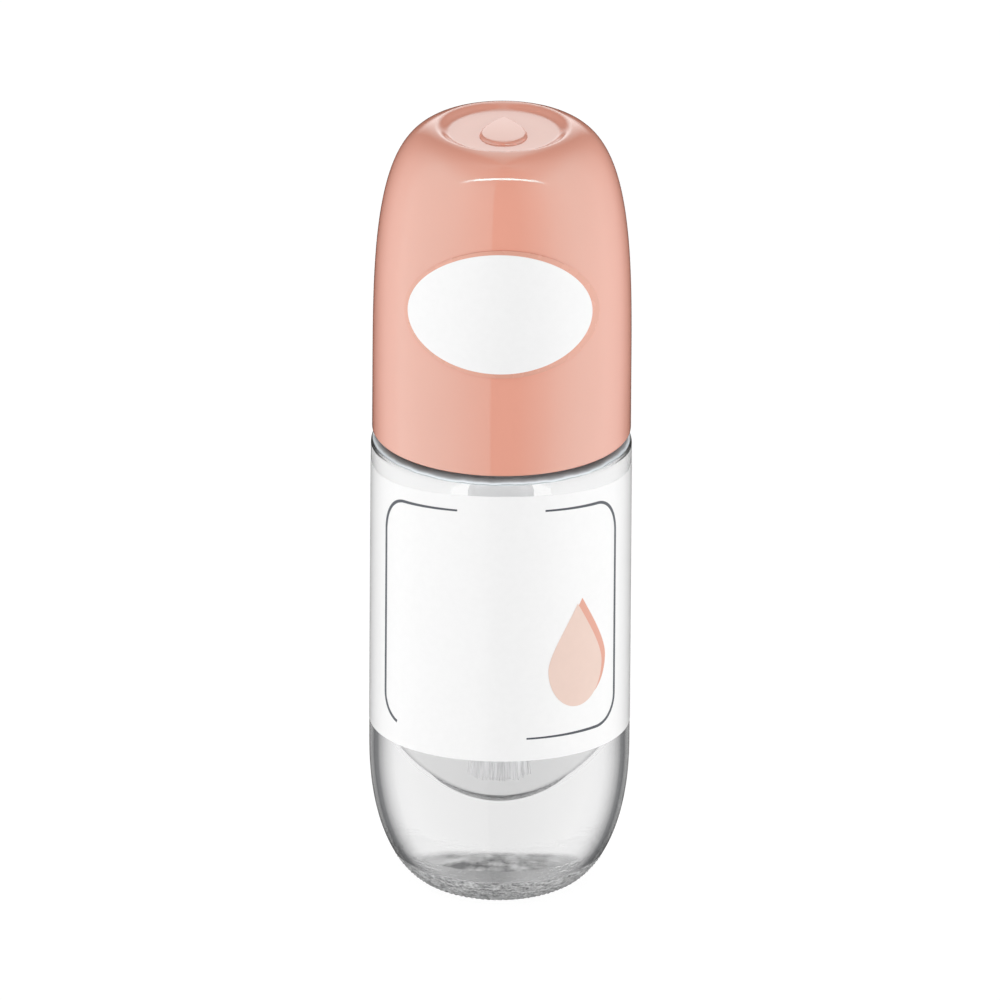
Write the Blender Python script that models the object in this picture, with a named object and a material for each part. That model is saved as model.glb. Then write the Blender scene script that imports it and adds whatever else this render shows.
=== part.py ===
"""Cuticle oil bottle: a small thick-walled glass bottle with a screw cap that carries a brush.

Metres, +Z up. The origin is the centre of the ring that the glass stands on, and the axis of every joint is Z.
The front of the label and of the cap's oval faces -Y.
"""

import math

import bmesh
import bpy
from mathutils import Matrix

# Glass bottle
GLASS_RADIUS = 0.0125
GLASS_WALL = 0.0034
STANDING_RING_RADIUS = 0.0062
STANDING_RING_WIDTH = 0.0012
PUSH_UP = 0.0004
ROUND_BASE_HEIGHT = 0.0143
ROUND_BASE_RISE_POWER = 2.23
ROUND_BASE_REACH_POWER = 1.97
FLOOR_THICKNESS = 0.0096
BOWL_HEIGHT = 0.0125
BOWL_RISE_POWER = 2.0
BOWL_REACH_POWER = 1.8
SHOULDER_HEIGHT = 0.0458
SHOULDER_CORNER = 0.00105
INNER_SHOULDER_DEPTH = 0.0012
INNER_SHOULDER_HEIGHT = 0.004

# Neck of the glass and its thread
NECK_RADIUS = 0.00575
NECK_WALL = 0.00215
NECK_HEIGHT = 0.0112
NECK_CORNER = 0.0005
THREAD_PITCH = 0.00212
THREAD_DEPTH = 0.0007
THREAD_ROOT_WIDTH = 0.0014
THREAD_CREST_WIDTH = 0.0006
THREAD_TURNS = 1.6
THREAD_DROP = 0.0017
THREAD_FADE_TURN = 0.12
THREAD_BITE = 0.0004

# Label and oval sticker
FILM_GAP = 0.00005
LABEL_THICKNESS = 0.0001
LABEL_ABOVE_ROUND_BASE = 0.0025
LABEL_BELOW_CORNER = 0.0005
LABEL_TOP_BOW = 0.0012
LABEL_BOTTOM_BOW = 0.0004
LABEL_OPEN_SIDES = 2
STICKER_HALF_WIDTH = 0.0092
STICKER_HALF_HEIGHT = 0.0063
STICKER_THICKNESS = 0.00008
STICKER_ABOVE_DOME_START = 0.0101
STICKER_LOOK_DOWN = math.radians(15)

# Overcap
CAP_INSET = 0.0001
CAP_HEIGHT = 0.03144
CAP_DOME_HEIGHT = 0.02467
CAP_DOME_RISE_POWER = 3.02
CAP_DOME_REACH_POWER = 4.99
CAP_WALL = 0.0014
CAP_RIM_CLEARANCE = 0.00043
CAP_RIM_EASE = 0.0003
DISH_RADIUS = 0.0058
DISH_DEPTH = 0.0005
DISH_LIP = 0.0007
DROP_HALF_LENGTH = 0.0036
DROP_HALF_WIDTH = 0.003
DROP_RELIEF = 0.0003
RIB_COUNT = 12
RIB_THICKNESS = 0.0008
RIB_STEP = 0.0014
RIB_STOP_HEIGHT = 0.003
FIT_GAP = 0.00015

# Inner cap
INNER_CAP_RAISE = 0.0004
INNER_CAP_WALL = 0.00125
INNER_CAP_TOP = 0.0013
INNER_CAP_BOSS_WALL = 0.0012
INNER_CAP_BOSS_HEIGHT = 0.0026
INNER_THREAD_DEPTH = 0.0004
INNER_THREAD_TURNS = 1.0
THREAD_CLEARANCE = 0.0001

# Sealing washer, brush stem, tuft and staple
WASHER_THICKNESS = 0.0009
STEM_RADIUS = 0.0021
COLLAR_RADIUS = 0.0049
COLLAR_THICKNESS = 0.001
SPIGOT_RADIUS = 0.0024
SPIGOT_HEIGHT = 0.0036
SOCKET_WALL = 0.00035
SOCKET_DEPTH = 0.005
TIP_ABOVE_FLOOR = 0.0019
BRISTLE_LENGTH = 0.011
BRISTLE_RADIUS = 0.00005
BRISTLE_TIP_SHARE = 0.6
BRISTLE_BITE = 0.0003
BRISTLES = 320
TUFT_ROOT_THICKNESS = 0.0008
TUFT_ROOT_INSET = 0.0022
TUFT_EDGE_MARGIN = 0.00012
TUFT_SPREAD_SHARE = 1.3
TUFT_CROWN = 0.0006
STAPLE_THICKNESS = 0.0004

# Facets and cutting
SIDES = 48
SMALL_SIDES = 36
CURVE_STEPS = 8
CORNER_STEPS = 3
RIDGE_STEPS_PER_TURN = 36
DROP_POINTS = 20
STICKER_SPOKES = 36
STICKER_RINGS = 6
OVERRUN = 0.0005
MERGE = 0.000001
SHARP_ANGLE = math.radians(32)
GOLDEN_ANGLE = math.pi * (3 - math.sqrt(5))

# Heights and radii that follow from the sizes above
CAP_RADIUS = GLASS_RADIUS - CAP_INSET
CAVITY_RADIUS = GLASS_RADIUS - GLASS_WALL
BORE_RADIUS = NECK_RADIUS - NECK_WALL
FINISH_TOP = SHOULDER_HEIGHT + NECK_HEIGHT
THREAD_CREST_RADIUS = NECK_RADIUS + THREAD_DEPTH
THREAD_RISE = THREAD_PITCH * THREAD_TURNS
THREAD_START = FINISH_TOP - THREAD_DROP - THREAD_RISE
CAP_RIM = SHOULDER_HEIGHT + CAP_RIM_CLEARANCE
DOME_START = CAP_RIM + CAP_HEIGHT - CAP_DOME_HEIGHT
INNER_THREAD_CREST = THREAD_CREST_RADIUS + THREAD_CLEARANCE
INNER_CAP_BORE = INNER_THREAD_CREST + INNER_THREAD_DEPTH
INNER_CAP_RADIUS = INNER_CAP_BORE + INNER_CAP_WALL
WASHER_BOTTOM = FINISH_TOP + FIT_GAP
WASHER_TOP = WASHER_BOTTOM + WASHER_THICKNESS
COLLAR_BOTTOM = WASHER_TOP + FIT_GAP
COLLAR_TOP = COLLAR_BOTTOM + COLLAR_THICKNESS
INNER_CAP_CEILING = COLLAR_TOP + FIT_GAP
INNER_CAP_ROOF = INNER_CAP_CEILING + INNER_CAP_TOP
BRISTLE_TIP = FLOOR_THICKNESS + TIP_ABOVE_FLOOR
STEM_END = BRISTLE_TIP + BRISTLE_LENGTH
SOCKET_RADIUS = STEM_RADIUS - SOCKET_WALL
SOCKET_TOP = STEM_END + SOCKET_DEPTH
TUFT_ROOT_BOTTOM = STEM_END + TUFT_ROOT_INSET
TUFT_ROOT_TOP = TUFT_ROOT_BOTTOM + TUFT_ROOT_THICKNESS
TUFT_ROOT_RADIUS = SOCKET_RADIUS - FIT_GAP


def clear_scene():
    """Removes what the scene starts with."""
    for thing in list(bpy.data.objects):
        bpy.data.objects.remove(thing, do_unlink=True)


def finish(name, colour, roughness, transmission=0.0, metallic=0.0):
    """A plain material for one kind of surface."""
    material = bpy.data.materials.new(name)
    material.use_nodes = True
    shader = material.node_tree.nodes["Principled BSDF"]
    shader.inputs["Base Color"].default_value = (*colour, 1.0)
    shader.inputs["Roughness"].default_value = roughness
    shader.inputs["Metallic"].default_value = metallic
    shader.inputs["Transmission Weight"].default_value = transmission
    return material


def piece_from(form, name, material):
    """Closes a bmesh into a named object with smooth round faces and sharp corners."""
    bmesh.ops.remove_doubles(form, verts=form.verts, dist=MERGE)
    bmesh.ops.recalc_face_normals(form, faces=form.faces)
    mesh = bpy.data.meshes.new(name)
    form.to_mesh(mesh)
    form.free()
    mesh.shade_smooth()
    mesh.set_sharp_from_angle(angle=SHARP_ANGLE)
    if material:
        mesh.materials.append(material)
    piece = bpy.data.objects.new(name, mesh)
    bpy.context.scene.collection.objects.link(piece)
    return piece


def turned(name, outline, material, sides=SIDES):
    """A solid turned round Z from an outline of (radius, height) points that closes on itself."""
    form = bmesh.new()
    corners = [form.verts.new((radius, 0, height)) for radius, height in outline]
    for first, second in zip(corners, corners[1:] + corners[:1]):
        if first.co.x or second.co.x:
            form.edges.new((first, second))
    bmesh.ops.spin(
        form,
        geom=form.verts[:] + form.edges[:],
        axis=(0, 0, 1),
        cent=(0, 0, 0),
        angle=math.tau,
        steps=sides,
        use_merge=True,
    )
    return piece_from(form, name, material)


def join(piece, tool):
    """Joins a helper to a piece with a live Boolean."""
    tool.hide_render = True
    tool.display_type = "WIRE"
    change = piece.modifiers.new(tool.name, "BOOLEAN")
    change.operation = "UNION"
    change.solver = "EXACT"
    change.object = tool


def quarter(centre, reach, rise, start, end, steps=CORNER_STEPS):
    """Points of an elliptic arc about centre, from start to end in quarter turns, 0 pointing outwards, 1 up."""
    points = []
    for step in range(steps + 1):
        angle = math.pi / 2 * (start + (end - start) * step / steps)
        points.append((centre[0] + reach * math.cos(angle), centre[1] + rise * math.sin(angle)))
    return points


def swell(reach, rise, reach_power, rise_power, steps=CURVE_STEPS):
    """Offsets of a full, rounded quarter curve, from (reach, 0) to (0, rise)."""
    points = []
    for step in range(steps + 1):
        angle = math.pi / 2 * step / steps
        out = reach * max(math.cos(angle), 0) ** (2 / reach_power)
        up = rise * math.sin(angle) ** (2 / rise_power)
        points.append((out if step < steps else 0, up))
    return points


def ridge(name, wall_radius, crest_radius, heights, start_turn, sink):
    """A helper thread ridge: a right-handed helix of a trapezoid section that fades in and out at its ends.

    wall_radius is the face it stands on, sink how far its root reaches behind that face, away from the crest.
    """
    turns = (heights[1] - heights[0]) / THREAD_PITCH
    steps = max(1, round(turns * RIDGE_STEPS_PER_TURN))
    form = bmesh.new()
    rings = []
    for step in range(steps + 1):
        along = turns * step / steps
        angle = math.tau * (start_turn + along)
        height = heights[0] + THREAD_PITCH * along
        fade = min(1, (min(along, turns - along) + THREAD_FADE_TURN / 4) / THREAD_FADE_TURN)
        crest = wall_radius + (crest_radius - wall_radius) * fade
        section = [
            (wall_radius + sink, -THREAD_ROOT_WIDTH / 2),
            (wall_radius, -THREAD_ROOT_WIDTH / 2),
            (crest, -THREAD_CREST_WIDTH / 2),
            (crest, THREAD_CREST_WIDTH / 2),
            (wall_radius, THREAD_ROOT_WIDTH / 2),
            (wall_radius + sink, THREAD_ROOT_WIDTH / 2),
        ]
        rings.append(
            [
                form.verts.new((radius * math.cos(angle), radius * math.sin(angle), height + up))
                for radius, up in section
            ]
        )
    for lower, upper in zip(rings, rings[1:]):
        for side in range(len(lower)):
            after = (side + 1) % len(lower)
            form.faces.new((lower[side], lower[after], upper[after], upper[side]))
    form.faces.new(rings[0])
    form.faces.new(rings[-1])
    return piece_from(form, name, None)


def base_outline():
    """The glass from the middle of its underside, round the standing ring and up the rounded base."""
    inner_edge = STANDING_RING_RADIUS - STANDING_RING_WIDTH
    under = [(0, PUSH_UP), (inner_edge - PUSH_UP, PUSH_UP), (inner_edge, 0)]
    curve = swell(
        GLASS_RADIUS - STANDING_RING_RADIUS,
        ROUND_BASE_HEIGHT,
        ROUND_BASE_REACH_POWER,
        ROUND_BASE_RISE_POWER,
    )
    rise = [(STANDING_RING_RADIUS + out, ROUND_BASE_HEIGHT - down) for out, down in reversed(curve)]
    return under + rise


def glass_bottle(material):
    """The bottle: a thick rounded base, a bowl-shaped hollow, a flat shoulder and a threaded neck."""
    corner_centre = (GLASS_RADIUS - SHOULDER_CORNER, SHOULDER_HEIGHT - SHOULDER_CORNER)
    shoulder = quarter(corner_centre, SHOULDER_CORNER, SHOULDER_CORNER, 0, 1)
    neck_foot = quarter(
        (NECK_RADIUS + NECK_CORNER, SHOULDER_HEIGHT + NECK_CORNER), NECK_CORNER, NECK_CORNER, 3, 2
    )
    lip = quarter((NECK_RADIUS - NECK_CORNER, FINISH_TOP - NECK_CORNER), NECK_CORNER, NECK_CORNER, 0, 1)
    bore_edge = quarter((BORE_RADIUS + NECK_CORNER, FINISH_TOP - NECK_CORNER), NECK_CORNER, NECK_CORNER, 1, 2)
    ceiling = SHOULDER_HEIGHT - INNER_SHOULDER_DEPTH
    spring = ceiling - INNER_SHOULDER_HEIGHT
    roof = [
        (BORE_RADIUS + out, spring + up)
        for out, up in swell(CAVITY_RADIUS - BORE_RADIUS, INNER_SHOULDER_HEIGHT, 2, 2)
    ]
    bowl_top = FLOOR_THICKNESS + BOWL_HEIGHT
    bowl = [
        (out, bowl_top - down)
        for out, down in swell(CAVITY_RADIUS, BOWL_HEIGHT, BOWL_REACH_POWER, BOWL_RISE_POWER)
    ]
    outline = base_outline() + shoulder + neck_foot + lip + bore_edge + roof[::-1] + bowl
    bottle = turned("glass_bottle", outline, material)
    thread = ridge(
        "neck_thread_tool",
        NECK_RADIUS,
        THREAD_CREST_RADIUS,
        (THREAD_START, THREAD_START + THREAD_RISE),
        0,
        -THREAD_BITE,
    )
    join(bottle, thread)
    return bottle


def label_wrap(material):
    """The wrap-round label, a thin film with a narrow open seam at the back and slightly bowed edges."""
    inner = GLASS_RADIUS + FILM_GAP
    outer = inner + LABEL_THICKNESS
    bottom = ROUND_BASE_HEIGHT + LABEL_ABOVE_ROUND_BASE
    top = SHOULDER_HEIGHT - SHOULDER_CORNER - LABEL_BELOW_CORNER
    form = bmesh.new()
    rings = []
    for side in range(SIDES - LABEL_OPEN_SIDES + 1):
        angle = math.pi / 2 + math.tau * (side + LABEL_OPEN_SIDES / 2) / SIDES
        sway = math.cos(angle) ** 2
        low = bottom - LABEL_BOTTOM_BOW * sway
        high = top - LABEL_TOP_BOW * sway
        section = [(inner, low), (outer, low), (outer, high), (inner, high)]
        rings.append(
            [form.verts.new((r * math.cos(angle), r * math.sin(angle), z)) for r, z in section]
        )
    for first, second in zip(rings, rings[1:]):
        for corner in range(len(first)):
            after = (corner + 1) % len(first)
            form.faces.new((first[corner], first[after], second[after], second[corner]))
    form.faces.new(rings[0])
    form.faces.new(rings[-1])
    return piece_from(form, "label_wrap", material)


def cap_radius_at(height):
    """Outer radius of the overcap at a height."""
    share = min(max((height - DOME_START) / CAP_DOME_HEIGHT, 0), 1)
    return CAP_RADIUS * (1 - share**CAP_DOME_RISE_POWER) ** (1 / CAP_DOME_REACH_POWER)


def cap_height_at(radius):
    """Height of the overcap's dome above a radius."""
    share = min(radius / CAP_RADIUS, 1)
    return DOME_START + CAP_DOME_HEIGHT * (1 - share**CAP_DOME_REACH_POWER) ** (1 / CAP_DOME_RISE_POWER)


def drop_mark_tool(floor):
    """A helper: the outline of a plain drop, raised on the floor of the dish."""
    form = bmesh.new()
    ring = []
    for step in range(DROP_POINTS):
        angle = math.tau * step / DROP_POINTS
        across = DROP_HALF_WIDTH * math.sin(angle) * math.sin(angle / 2)
        ring.append(form.verts.new((across, DROP_HALF_LENGTH * math.cos(angle), floor - OVERRUN)))
    face = form.faces.new(ring)
    raised = bmesh.ops.extrude_face_region(form, geom=[face])["geom"]
    moved = [vertex for vertex in raised if isinstance(vertex, bmesh.types.BMVert)]
    bmesh.ops.translate(form, verts=moved, vec=(0, 0, OVERRUN + DROP_RELIEF))
    return piece_from(form, "drop_mark_tool", None)


def cap_ribs_tool():
    """A helper: upright ribs inside the overcap that grip the inner cap, stepped in above it as a stop."""
    grip = INNER_CAP_RADIUS + FIT_GAP
    stop = grip - RIB_STEP
    bottom = CAP_RIM + INNER_CAP_RAISE + RIB_STEP
    seat = INNER_CAP_ROOF + FIT_GAP
    top = seat + RIB_STOP_HEIGHT
    outside = CAP_RADIUS - CAP_WALL / 2
    profile = [(outside, bottom), (outside, top), (stop, top), (stop, seat), (grip, seat), (grip, bottom)]
    form = bmesh.new()
    for rib in range(RIB_COUNT):
        angle = math.tau * rib / RIB_COUNT
        along = (math.cos(angle), math.sin(angle))
        sides = []
        for half in (-RIB_THICKNESS / 2, RIB_THICKNESS / 2):
            sides.append(
                [
                    form.verts.new((r * along[0] - half * along[1], r * along[1] + half * along[0], z))
                    for r, z in profile
                ]
            )
        for corner in range(len(profile)):
            after = (corner + 1) % len(profile)
            form.faces.new((sides[0][corner], sides[0][after], sides[1][after], sides[1][corner]))
        form.faces.new(sides[0])
        form.faces.new(sides[1])
    return piece_from(form, "cap_ribs_tool", None)


def overcap(material):
    """The glossy shell: a domed thimble open below, with a shallow dish and a raised drop on top."""
    rim = CAP_RIM
    lip_radius = DISH_RADIUS + DISH_LIP
    dish_floor = cap_height_at(lip_radius) - DISH_DEPTH
    start = [
        (CAP_RADIUS - CAP_WALL, rim),
        (CAP_RADIUS - CAP_RIM_EASE, rim),
        (CAP_RADIUS, rim + CAP_RIM_EASE),
    ]
    dome = [
        (out, DOME_START + up)
        for out, up in swell(
            CAP_RADIUS, CAP_DOME_HEIGHT, CAP_DOME_REACH_POWER, CAP_DOME_RISE_POWER, 2 * CURVE_STEPS
        )
        if out > lip_radius + DISH_LIP
    ]
    lip = [
        (lip_radius, cap_height_at(lip_radius)),
        (DISH_RADIUS + DISH_LIP / 3, cap_height_at(lip_radius) - DISH_LIP / 6),
        (DISH_RADIUS - DISH_LIP / 3, dish_floor + DISH_LIP / 6),
        (DISH_RADIUS - DISH_LIP, dish_floor),
        (0, dish_floor),
    ]
    hollow_radius = CAP_RADIUS - CAP_WALL
    hollow_height = dish_floor - CAP_WALL - DOME_START
    hollow = [
        (out, DOME_START + up)
        for out, up in swell(hollow_radius, hollow_height, CAP_DOME_REACH_POWER, CAP_DOME_RISE_POWER)
    ]
    shell = turned("overcap", start + dome + lip + hollow[::-1], material)
    join(shell, cap_ribs_tool())
    join(shell, drop_mark_tool(dish_floor))
    return shell


def cap_sticker(material):
    """A thin oval film on the front of the cap. It is cut to look like a level oval to someone who looks
    down at the bottle, so its ends hang a little lower than its middle."""
    middle = DOME_START + STICKER_ABOVE_DOME_START
    slope = math.tan(STICKER_LOOK_DOWN)

    def on_cap(across, up, stand_off):
        height = middle + up
        for _ in range(CURVE_STEPS):
            radius = cap_radius_at(height)
            depth = math.sqrt(max(radius**2 - across**2, 0))
            height = middle + up + (depth - CAP_RADIUS) * slope
        out = (radius + stand_off) / radius
        return (across * out, -depth * out, height)

    form = bmesh.new()
    faces = []
    for stand_off in (FILM_GAP, FILM_GAP + STICKER_THICKNESS):
        centre = form.verts.new(on_cap(0, 0, stand_off))
        rings = []
        for ring in range(1, STICKER_RINGS + 1):
            share = ring / STICKER_RINGS
            row = []
            for spoke in range(STICKER_SPOKES):
                angle = math.tau * spoke / STICKER_SPOKES
                across = STICKER_HALF_WIDTH * share * math.cos(angle)
                up = STICKER_HALF_HEIGHT * share * math.sin(angle) / math.cos(STICKER_LOOK_DOWN)
                row.append(form.verts.new(on_cap(across, up, stand_off)))
            rings.append(row)
        for spoke in range(STICKER_SPOKES):
            after = (spoke + 1) % STICKER_SPOKES
            form.faces.new((centre, rings[0][spoke], rings[0][after]))
            for inner, outer in zip(rings, rings[1:]):
                form.faces.new((inner[spoke], outer[spoke], outer[after], inner[after]))
        faces.append(rings[-1])
    for spoke in range(STICKER_SPOKES):
        after = (spoke + 1) % STICKER_SPOKES
        form.faces.new((faces[0][spoke], faces[0][after], faces[1][after], faces[1][spoke]))
    return piece_from(form, "cap_sticker", material)


def inner_cap(material):
    """The threaded closure inside the overcap, with a boss that the stem's spigot is pushed into."""
    rim = CAP_RIM + INNER_CAP_RAISE
    hole = SPIGOT_RADIUS + FIT_GAP
    boss = hole + INNER_CAP_BOSS_WALL
    boss_top = INNER_CAP_ROOF + INNER_CAP_BOSS_HEIGHT
    outline = [
        (INNER_CAP_BORE, rim),
        (INNER_CAP_RADIUS, rim),
        (INNER_CAP_RADIUS, INNER_CAP_ROOF),
        (boss, INNER_CAP_ROOF),
        (boss, boss_top),
        (hole, boss_top),
        (hole, INNER_CAP_CEILING),
        (INNER_CAP_BORE, INNER_CAP_CEILING),
    ]
    closure = turned("inner_cap", outline, material, SMALL_SIDES)
    top = THREAD_START + THREAD_RISE - THREAD_PITCH / 2
    start = top - THREAD_PITCH * INNER_THREAD_TURNS
    start_turn = THREAD_TURNS - INNER_THREAD_TURNS
    thread = ridge(
        "cap_thread_tool", INNER_CAP_BORE, INNER_THREAD_CREST, (start, top), start_turn, THREAD_BITE
    )
    join(closure, thread)
    return closure


def seal_washer(material):
    """The soft ring between the mouth of the glass and the stem's collar."""
    inner = STEM_RADIUS + FIT_GAP
    outer = NECK_RADIUS
    outline = [(inner, WASHER_BOTTOM), (outer, WASHER_BOTTOM), (outer, WASHER_TOP), (inner, WASHER_TOP)]
    return turned("seal_washer", outline, material, SMALL_SIDES)


def brush_stem(material):
    """The round stem: a spigot above, a collar on the washer and a socket for the tuft below."""
    top = COLLAR_TOP + SPIGOT_HEIGHT
    outline = [
        (0, top),
        (SPIGOT_RADIUS, top),
        (SPIGOT_RADIUS, COLLAR_TOP),
        (COLLAR_RADIUS, COLLAR_TOP),
        (COLLAR_RADIUS, COLLAR_BOTTOM),
        (STEM_RADIUS, COLLAR_BOTTOM),
        (STEM_RADIUS, STEM_END),
        (SOCKET_RADIUS, STEM_END),
        (SOCKET_RADIUS, SOCKET_TOP),
        (0, SOCKET_TOP),
    ]
    return turned("brush_stem", outline, material, SMALL_SIDES)


def bristles_tool():
    """A helper: every bristle, straight and thin, spreading a little from the root to the tips."""
    form = bmesh.new()
    reach = TUFT_ROOT_RADIUS - TUFT_EDGE_MARGIN
    top = TUFT_ROOT_BOTTOM + BRISTLE_BITE
    for bristle in range(BRISTLES):
        share = math.sqrt((bristle + 0.5) / BRISTLES)
        angle = bristle * GOLDEN_ANGLE
        ends = (
            (reach * share, top, BRISTLE_RADIUS),
            (
                reach * share * TUFT_SPREAD_SHARE,
                BRISTLE_TIP + TUFT_CROWN * share**4,
                BRISTLE_RADIUS * BRISTLE_TIP_SHARE,
            ),
        )
        rings = []
        for radius, height, thickness in ends:
            ring = []
            for corner in range(3):
                turn = angle + math.tau * corner / 3
                x = radius * math.cos(angle) + thickness * math.cos(turn)
                y = radius * math.sin(angle) + thickness * math.sin(turn)
                ring.append(form.verts.new((x, y, height)))
            rings.append(ring)
        for corner in range(3):
            after = (corner + 1) % 3
            form.faces.new((rings[0][corner], rings[0][after], rings[1][after], rings[1][corner]))
        form.faces.new(rings[0])
        form.faces.new(rings[1])
    return piece_from(form, "bristles_tool", None)


def bristle_tuft(material):
    """The tuft: bristles fused to the short root that the staple holds in the stem's socket."""
    outline = [
        (0, TUFT_ROOT_TOP),
        (TUFT_ROOT_RADIUS, TUFT_ROOT_TOP),
        (TUFT_ROOT_RADIUS, TUFT_ROOT_BOTTOM),
        (0, TUFT_ROOT_BOTTOM),
    ]
    tuft = turned("bristle_tuft", outline, material, SMALL_SIDES)
    join(tuft, bristles_tool())
    return tuft


def tuft_staple(material):
    """The flat metal staple across the socket, above the root of the tuft."""
    half_width = math.sqrt(SOCKET_RADIUS**2 - (STAPLE_THICKNESS / 2) ** 2) - FIT_GAP
    bottom = TUFT_ROOT_TOP + FIT_GAP
    top = SOCKET_TOP - FIT_GAP
    shoulder = top - (top - bottom) / 3
    outline = [
        (-half_width, bottom),
        (half_width, bottom),
        (half_width, shoulder),
        (half_width / 2, top),
        (-half_width / 2, top),
        (-half_width, shoulder),
    ]
    form = bmesh.new()
    face = form.faces.new([form.verts.new((x, -STAPLE_THICKNESS / 2, z)) for x, z in outline])
    raised = bmesh.ops.extrude_face_region(form, geom=[face])["geom"]
    moved = [vertex for vertex in raised if isinstance(vertex, bmesh.types.BMVert)]
    bmesh.ops.translate(form, verts=moved, vec=(0, STAPLE_THICKNESS, 0))
    return piece_from(form, "tuft_staple", material)


def holder(name, height, parent=None):
    """An empty on the bottle's axis that carries the pieces of one body."""
    empty = bpy.data.objects.new(name, None)
    bpy.context.scene.collection.objects.link(empty)
    empty.location = (0, 0, height)
    if parent:
        carry(empty, parent)
    return empty


def carry(piece, parent):
    """Parents a piece without moving it. Holders only ever stand on the axis, unturned."""
    bpy.context.view_layer.update()
    piece.parent = parent
    piece.matrix_parent_inverse = Matrix.Translation(parent.matrix_world.translation).inverted()


def build():
    """Makes every piece, and hangs it on the body that it moves with."""
    clear_scene()
    glass = finish("clear_glass", (0.93, 0.94, 0.94), 0.03, transmission=1.0)
    label_film = finish("white_film", (0.93, 0.93, 0.93), 0.35)
    peach_gloss = finish("peach_gloss", (0.79, 0.42, 0.32), 0.18)
    white_plastic = finish("white_plastic", (0.88, 0.88, 0.87), 0.4)
    soft_liner = finish("soft_liner", (0.85, 0.85, 0.83), 0.6)
    clear_plastic = finish("frosted_stem", (0.86, 0.87, 0.87), 0.3, transmission=0.6)
    bristle = finish("bristle", (0.83, 0.83, 0.82), 0.5)
    steel = finish("staple_metal", (0.7, 0.7, 0.72), 0.3, metallic=1.0)

    bottle_body = holder("bottle_body", 0)
    draw_body = holder("brush_draw_slide", FINISH_TOP, bottle_body)
    rise_body = holder("thread_rise_slide", COLLAR_BOTTOM, draw_body)
    cap_body = holder("cap_turn_pivot", CAP_RIM, rise_body)

    for piece in (glass_bottle(glass), label_wrap(label_film)):
        carry(piece, bottle_body)
    carry(seal_washer(soft_liner), draw_body)
    carry(brush_stem(clear_plastic), rise_body)
    for piece in (
        overcap(peach_gloss),
        cap_sticker(label_film),
        inner_cap(white_plastic),
        bristle_tuft(bristle),
        tuft_staple(steel),
    ):
        carry(piece, cap_body)


build()
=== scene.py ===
"""Looks of a cuticle oil bottle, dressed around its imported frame.

Metres, +Z up. The bottle stands on z = 0 and the front of its label faces -Y. Sizes repeat those of the
solids.
"""

import logging
import math
from collections.abc import Callable, Sequence
from dataclasses import dataclass
from enum import Enum

import bpy
import numpy as np
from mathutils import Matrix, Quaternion, Vector


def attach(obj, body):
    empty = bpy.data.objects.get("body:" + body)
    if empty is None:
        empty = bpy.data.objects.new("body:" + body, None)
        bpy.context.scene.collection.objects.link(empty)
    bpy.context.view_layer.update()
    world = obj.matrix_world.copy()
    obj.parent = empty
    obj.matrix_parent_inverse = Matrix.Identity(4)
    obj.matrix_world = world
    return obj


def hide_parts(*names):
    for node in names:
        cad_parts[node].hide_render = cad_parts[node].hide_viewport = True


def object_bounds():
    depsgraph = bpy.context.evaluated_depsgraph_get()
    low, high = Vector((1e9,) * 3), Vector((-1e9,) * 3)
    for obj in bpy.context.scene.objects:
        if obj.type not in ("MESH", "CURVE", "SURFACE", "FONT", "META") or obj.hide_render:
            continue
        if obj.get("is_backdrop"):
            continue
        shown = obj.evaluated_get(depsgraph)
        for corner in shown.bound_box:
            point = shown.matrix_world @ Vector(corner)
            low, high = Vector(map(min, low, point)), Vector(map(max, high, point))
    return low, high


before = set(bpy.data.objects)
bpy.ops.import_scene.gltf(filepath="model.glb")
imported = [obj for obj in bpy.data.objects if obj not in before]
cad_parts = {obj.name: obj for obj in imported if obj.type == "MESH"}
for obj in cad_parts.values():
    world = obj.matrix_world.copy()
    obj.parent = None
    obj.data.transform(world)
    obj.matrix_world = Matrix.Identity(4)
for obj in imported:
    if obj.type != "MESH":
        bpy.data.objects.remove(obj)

LOG = logging.getLogger("cuticle_oil_bottle")
CAD_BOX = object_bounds()

Point = tuple[float, float]
Place = tuple[float, float, float]
Lay = Callable[[float, float, float], Place]
Colour = tuple[float, float, float]
Stops = Sequence[tuple[float, Colour]]
Fade = tuple[float, float, float, float]
Socket = bpy.types.NodeSocket
Value = Socket | float

SHARP_ANGLE = math.radians(38)
GOLDEN_ANGLE = math.pi * (3 - math.sqrt(5))
NOISE_SPAN = (0.3, 0.7)
PRINT_GAP = 0.000002
PRINT_THICKNESS = 0.000012
WHITE = (1, 1, 1, 1)


class Body(Enum):
    """The moving bodies that pieces ride on."""

    BOTTLE = "bottle"
    BRUSH = "brush"
    CAP = "cap"


class Slot(Enum):
    """The record's material slots, one of which is named with each piece."""

    GLASS = "clear_glass"
    LABEL = "white_film"
    CAP = "peach_gloss"
    OVAL = "oval_film"
    STEM = "frosted_stem"
    BRISTLE = "bristle"


# Curves and meshes


def linear(red: int, green: int, blue: int) -> Colour:
    """Turns a screen colour into the linear colour that a shader takes.

    Args:
        red, green, blue: channels from 0 to 255.

    Returns:
        The linear channels from 0 to 1.
    """
    shares = (red / 255, green / 255, blue / 255)
    return tuple(s / 12.92 if s <= 0.04045 else ((s + 0.055) / 1.055) ** 2.4 for s in shares)


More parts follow.
